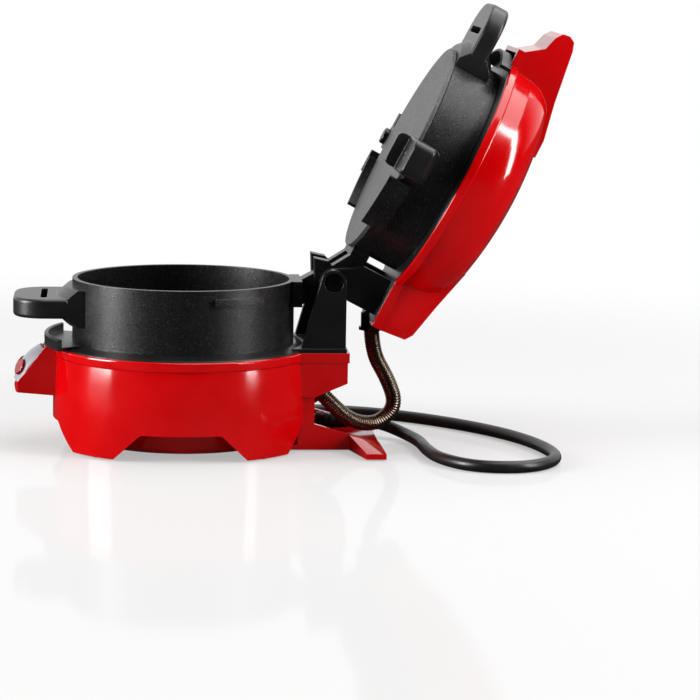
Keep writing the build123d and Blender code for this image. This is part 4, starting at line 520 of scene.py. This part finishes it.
# %% [markdown]
# Mains lead. On the real appliance it is a round PVC lead, 6.2 mm thick, that leaves a strain relief
# low at the back, drops to the table and curves away. It could be a mesh tube, but a curve with a
# round bevel is the simplest way to give a line one thickness. The line runs from the strain relief
# through the loose part and the coil to the plug that lies on the coil.

# %% Mains lead
LEAD_DIAMETER = 6.2 * MM
LEAD_ROUNDNESS = 6
LEAD_ROUTE_MM = [
    (86, 12, 9), (97, 12, 9), (107, 11, 6.4), (116, 3, 3.4), (121, -16, 3.2), (122, -40, 3.2),
    (126, -64, 3.2), (141, -86, 3.2), (168, -88, 3.2), (186, -66, 3.2), (184, -34, 3.2), (172, 0, 3.2),
    (150, 32, 3.2), (118, 62, 3.2), (84, 78, 3.2), (40, 78.5, 3.8),
]


def mains_lead():
    """The lead as one curve, and the length of its middle line."""
    points = [Vector(point) * MM for point in LEAD_ROUTE_MM + COIL_ROUTE_MM]
    lead = route_curve("mains_lead", points)
    _, length = even_points(route_points(lead), LEAD_DIAMETER)
    lead.data.bevel_depth = LEAD_DIAMETER / 2
    lead.data.bevel_resolution = LEAD_ROUNDNESS
    lead.data.use_fill_caps = True
    return lead, length


lead, measured_length = mains_lead()
dress(lead, FINISHES["cord_plastic"])
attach(lead, "base")
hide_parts("mains_cord", "cord_coil")
print("mains lead: %.0f mm" % (measured_length / MM))

# %% [markdown]
# Swept tube. Blender's bevelled curve has one thickness all along, while a hose has ribs. So this
# tube is swept by hand: rings of points along the line, each with its own radius, and a frame that
# is carried from ring to ring, so that the tube never twists.

# %% Tube helper


def swept_tube(name, points, radius_at, sides):
    """A closed tube mesh along the points; radius_at gives the radius at each one."""
    vertices = []
    faces = []
    forward = (points[1] - points[0]).normalized()
    side = forward.orthogonal().normalized()
    for number, point in enumerate(points):
        before = points[max(number - 1, 0)]
        after = points[min(number + 1, len(points) - 1)]
        turned = (after - before).normalized()
        side = forward.rotation_difference(turned) @ side
        forward = turned
        up = forward.cross(side)
        for spoke in range(sides):
            angle = 2 * math.pi * spoke / sides
            reach = side * math.cos(angle) + up * math.sin(angle)
            vertices.append(point + reach * radius_at(number))
    for ring in range(len(points) - 1):
        for spoke in range(sides):
            here = ring * sides + spoke
            beside = ring * sides + (spoke + 1) % sides
            faces.append((here, beside, beside + sides, here + sides))
    faces.append(tuple(reversed(range(sides))))
    faces.append(tuple(range(len(vertices) - sides, len(vertices))))
    mesh = bpy.data.meshes.new(name)
    mesh.from_pydata(vertices, [], faces)
    mesh.shade_smooth()
    tube = bpy.data.objects.new(name, mesh)
    bpy.context.scene.collection.objects.link(tube)
    return tube


# %% [markdown]
# Wire conduit. A strip-wound steel hose with a bronze finish carries the cover heater's wires from
# the base into the cover. Ribs could be a bump in the material, but its outline shows them too: a
# rounded rib every 1.2 mm breaks the highlight into a string of beads. The hose runs from the base's
# lower gland to the cover's upper one and turns smoothly between them.

# %% Wire conduit
CONDUIT_RADIUS = 4.1 * MM
CONDUIT_RIB = 0.35 * MM
CONDUIT_PITCH = 1.23 * MM
CONDUIT_RINGS_PER_RIB = 6
CONDUIT_SIDES = 40
CONDUIT_ROUTE_MM = [
    (65.72, 0, 30.576), (75.44, 0, 21.207), (86.5, 0, 10.6), (100.5, 0, 9.0), (110.4, 0, 19.0),
    (105.6, 0, 33.0), (96.6, 0, 48.0), (96.6, 0, 64.6),
]


def rib_radius(number):
    """The hose's radius at a ring: smallest between two ribs, full at the middle of each."""
    groove = (1 + math.cos(2 * math.pi * number / CONDUIT_RINGS_PER_RIB)) / 2
    return CONDUIT_RADIUS - CONDUIT_RIB * groove


guide = route_curve("conduit_guide", [Vector(point) * MM for point in CONDUIT_ROUTE_MM])
conduit_line, conduit_length = even_points(route_points(guide), CONDUIT_PITCH / CONDUIT_RINGS_PER_RIB)
bpy.data.objects.remove(guide)
conduit = swept_tube("conduit_hose", conduit_line, rib_radius, CONDUIT_SIDES)
dress(conduit, FINISHES["conduit_metal"])
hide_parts("conduit")
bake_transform(conduit)
print("conduit: %.0f mm" % (conduit_length / MM))

# %% [markdown]
# Studio floor. A product photo on white: the floor and the background are the same white, with a
# soft contact shadow and a faint mirror image under the object. A plain white floor turns grey far
# from the lights, so this one shows its own white to the camera, part lit and part steady. It is
# mostly steady far away, to stay white, and mostly lit near the object, to take its shadow.

# %% Floor
STUDIO_WHITE = linear("#FFFFFF")
LIT_WHITE = linear("#B8B8B8")
FLOOR_SIZE = 40.0
FLOOR_SHINE = 0.07
FLOOR_POLISH = 0.06
FLOOR_IN_MIRRORS = 0.04
SHADOW_SHARE = 0.55
LIT_RADIUS = 0.30
STEADY_RADIUS = 0.75
WHITE_STRENGTH = 1.0


def seen_directly(tree):
    """1 for camera and glass rays, 0 for mirror rays and for light that falls on the object."""
    rays = add(tree, "LightPath").outputs
    seen = add(tree, "Math", {
        0: rays["Is Camera Ray"], 1: rays["Is Transmission Ray"],
    }, operation="MAXIMUM")
    return seen.outputs["Value"]


def steady_share(tree, place, in_mirror):
    """How much of the floor's white is steady: all of it in mirrors, and more with the distance."""
    distance = add(tree, "VectorMath", {0: place}, operation="LENGTH").outputs["Value"]
    far = add(tree, "MapRange", {
        "Value": distance, "From Min": LIT_RADIUS, "From Max": STEADY_RADIUS,
        "To Min": 1 - SHADOW_SHARE, "To Max": 1.0,
    }, interpolation_type="SMOOTHSTEP").outputs["Result"]
    direct = add(tree, "Math", {0: far, 1: seen_directly(tree)}, operation="MULTIPLY").outputs["Value"]
    return add(tree, "Math", {0: direct, 1: in_mirror}, operation="MAXIMUM").outputs["Value"]


def floor_finish():
    material, tree, place = new_material("studio_floor")
    rays = add(tree, "LightPath").outputs
    own_light = add(tree, "MapRange", {
        "Value": rays["Is Glossy Ray"], "To Min": WHITE_STRENGTH, "To Max": FLOOR_IN_MIRRORS,
    }).outputs["Result"]
    lit = add(tree, "BsdfDiffuse", {"Color": LIT_WHITE}).outputs["BSDF"]
    steady = add(tree, "Emission", {"Color": STUDIO_WHITE, "Strength": own_light}).outputs["Emission"]
    share = steady_share(tree, place, rays["Is Glossy Ray"])
    white = add(tree, "MixShader", {0: share, 1: lit, 2: steady}).outputs["Shader"]
    shine = add(tree, "MapRange", {
        "Value": rays["Is Camera Ray"], "To Min": 0.0, "To Max": FLOOR_SHINE,
    }).outputs["Result"]
    mirror = add(tree, "BsdfGlossy", {"Color": STUDIO_WHITE, "Roughness": FLOOR_POLISH}).outputs["BSDF"]
    polished = add(tree, "MixShader", {0: shine, 1: white, 2: mirror}).outputs["Shader"]
    add(tree, "OutputMaterial", {"Surface": polished})
    return material


def add_floor():
    half = FLOOR_SIZE / 2
    corners = [(-half, -half, 0), (half, -half, 0), (half, half, 0), (-half, half, 0)]
    mesh = bpy.data.meshes.new("floor")
    mesh.from_pydata(corners, [], [(0, 1, 2, 3)])
    floor = bpy.data.objects.new("floor", mesh)
    bpy.context.scene.collection.objects.link(floor)
    dress(floor, floor_finish())


add_floor()
print("floor: %.0f m wide" % FLOOR_SIZE)

# %% [markdown]
# Studio room. A real studio is bright behind the object and dark on the camera's side. An even white
# world would put a grey veil on everything black and glossy, so mirror rays see a room instead: the
# back wall is white and it fades towards -Y, which keeps the blacks black and lets the soft boxes
# draw the highlights. Camera rays see plain white, and a low even fill lights the object.

# %% World
WORLD_FILL = 0.12
DARK_SIDE = 0.0
BACK_WALL_START = -0.15
BACK_WALL_FULL = 0.60


def set_world():
    world = bpy.data.worlds.new("studio")
    bpy.context.scene.world = world
    world.use_nodes = True
    tree = world.node_tree
    tree.nodes.clear()
    direction = add(tree, "SeparateXYZ", {0: add(tree, "TexCoord").outputs["Generated"]})
    room = add(tree, "MapRange", {
        "Value": direction.outputs["Y"], "From Min": BACK_WALL_START, "From Max": BACK_WALL_FULL,
        "To Min": DARK_SIDE, "To Max": WHITE_STRENGTH,
    }, interpolation_type="SMOOTHSTEP").outputs["Result"]
    indirect = add(tree, "MapRange", {
        "Value": add(tree, "LightPath").outputs["Is Glossy Ray"], "To Min": WORLD_FILL, "To Max": room,
    }).outputs["Result"]
    strength = add(tree, "MapRange", {
        "Value": seen_directly(tree), "To Min": indirect, "To Max": WHITE_STRENGTH,
    }).outputs["Result"]
    light = add(tree, "Background", {"Color": STUDIO_WHITE, "Strength": strength})
    add(tree, "OutputWorld", {"Surface": light.outputs["Background"]})


set_world()
print("world fill: %.2f" % WORLD_FILL)

# %% [markdown]
# Lights. Point lamps would give hard spots, so the lights are soft boxes. A wide tall one stands far
# to the left and a narrow one to the right, which draws two upright highlights on every round wall:
# the wall's normal at a highlight is halfway between the box and the camera. A wide box overhead
# lights the cover and the tops of the handles.

# %% Lights
OBJECT_MIDDLE = Vector((0.06, 0.0, 0.11))
# Each soft box has a name, a place, a width and height, and its watts.
SOFT_BOXES = [
    ("left_box", (-1.25, -0.26, 0.40), (0.55, 0.8), 36.0),
    ("right_box", (1.15, -0.62, 0.50), (0.26, 1.0), 20.0),
    ("top_box", (0.50, 0.10, 1.50), (1.8, 1.6), 34.0),
]


def add_soft_box(name, place, size, watts):
    data = bpy.data.lights.new(name, "AREA")
    data.shape = "RECTANGLE"
    data.size, data.size_y = size
    data.energy = watts
    lamp = bpy.data.objects.new(name, data)
    lamp.location = place
    lamp.rotation_euler = (Vector(place) - OBJECT_MIDDLE).to_track_quat("Z", "Y").to_euler()
    bpy.context.scene.collection.objects.link(lamp)


for soft_box in SOFT_BOXES:
    add_soft_box(*soft_box)
bpy.context.scene.view_settings.view_transform = "Standard"
print("lights:", len(SOFT_BOXES))
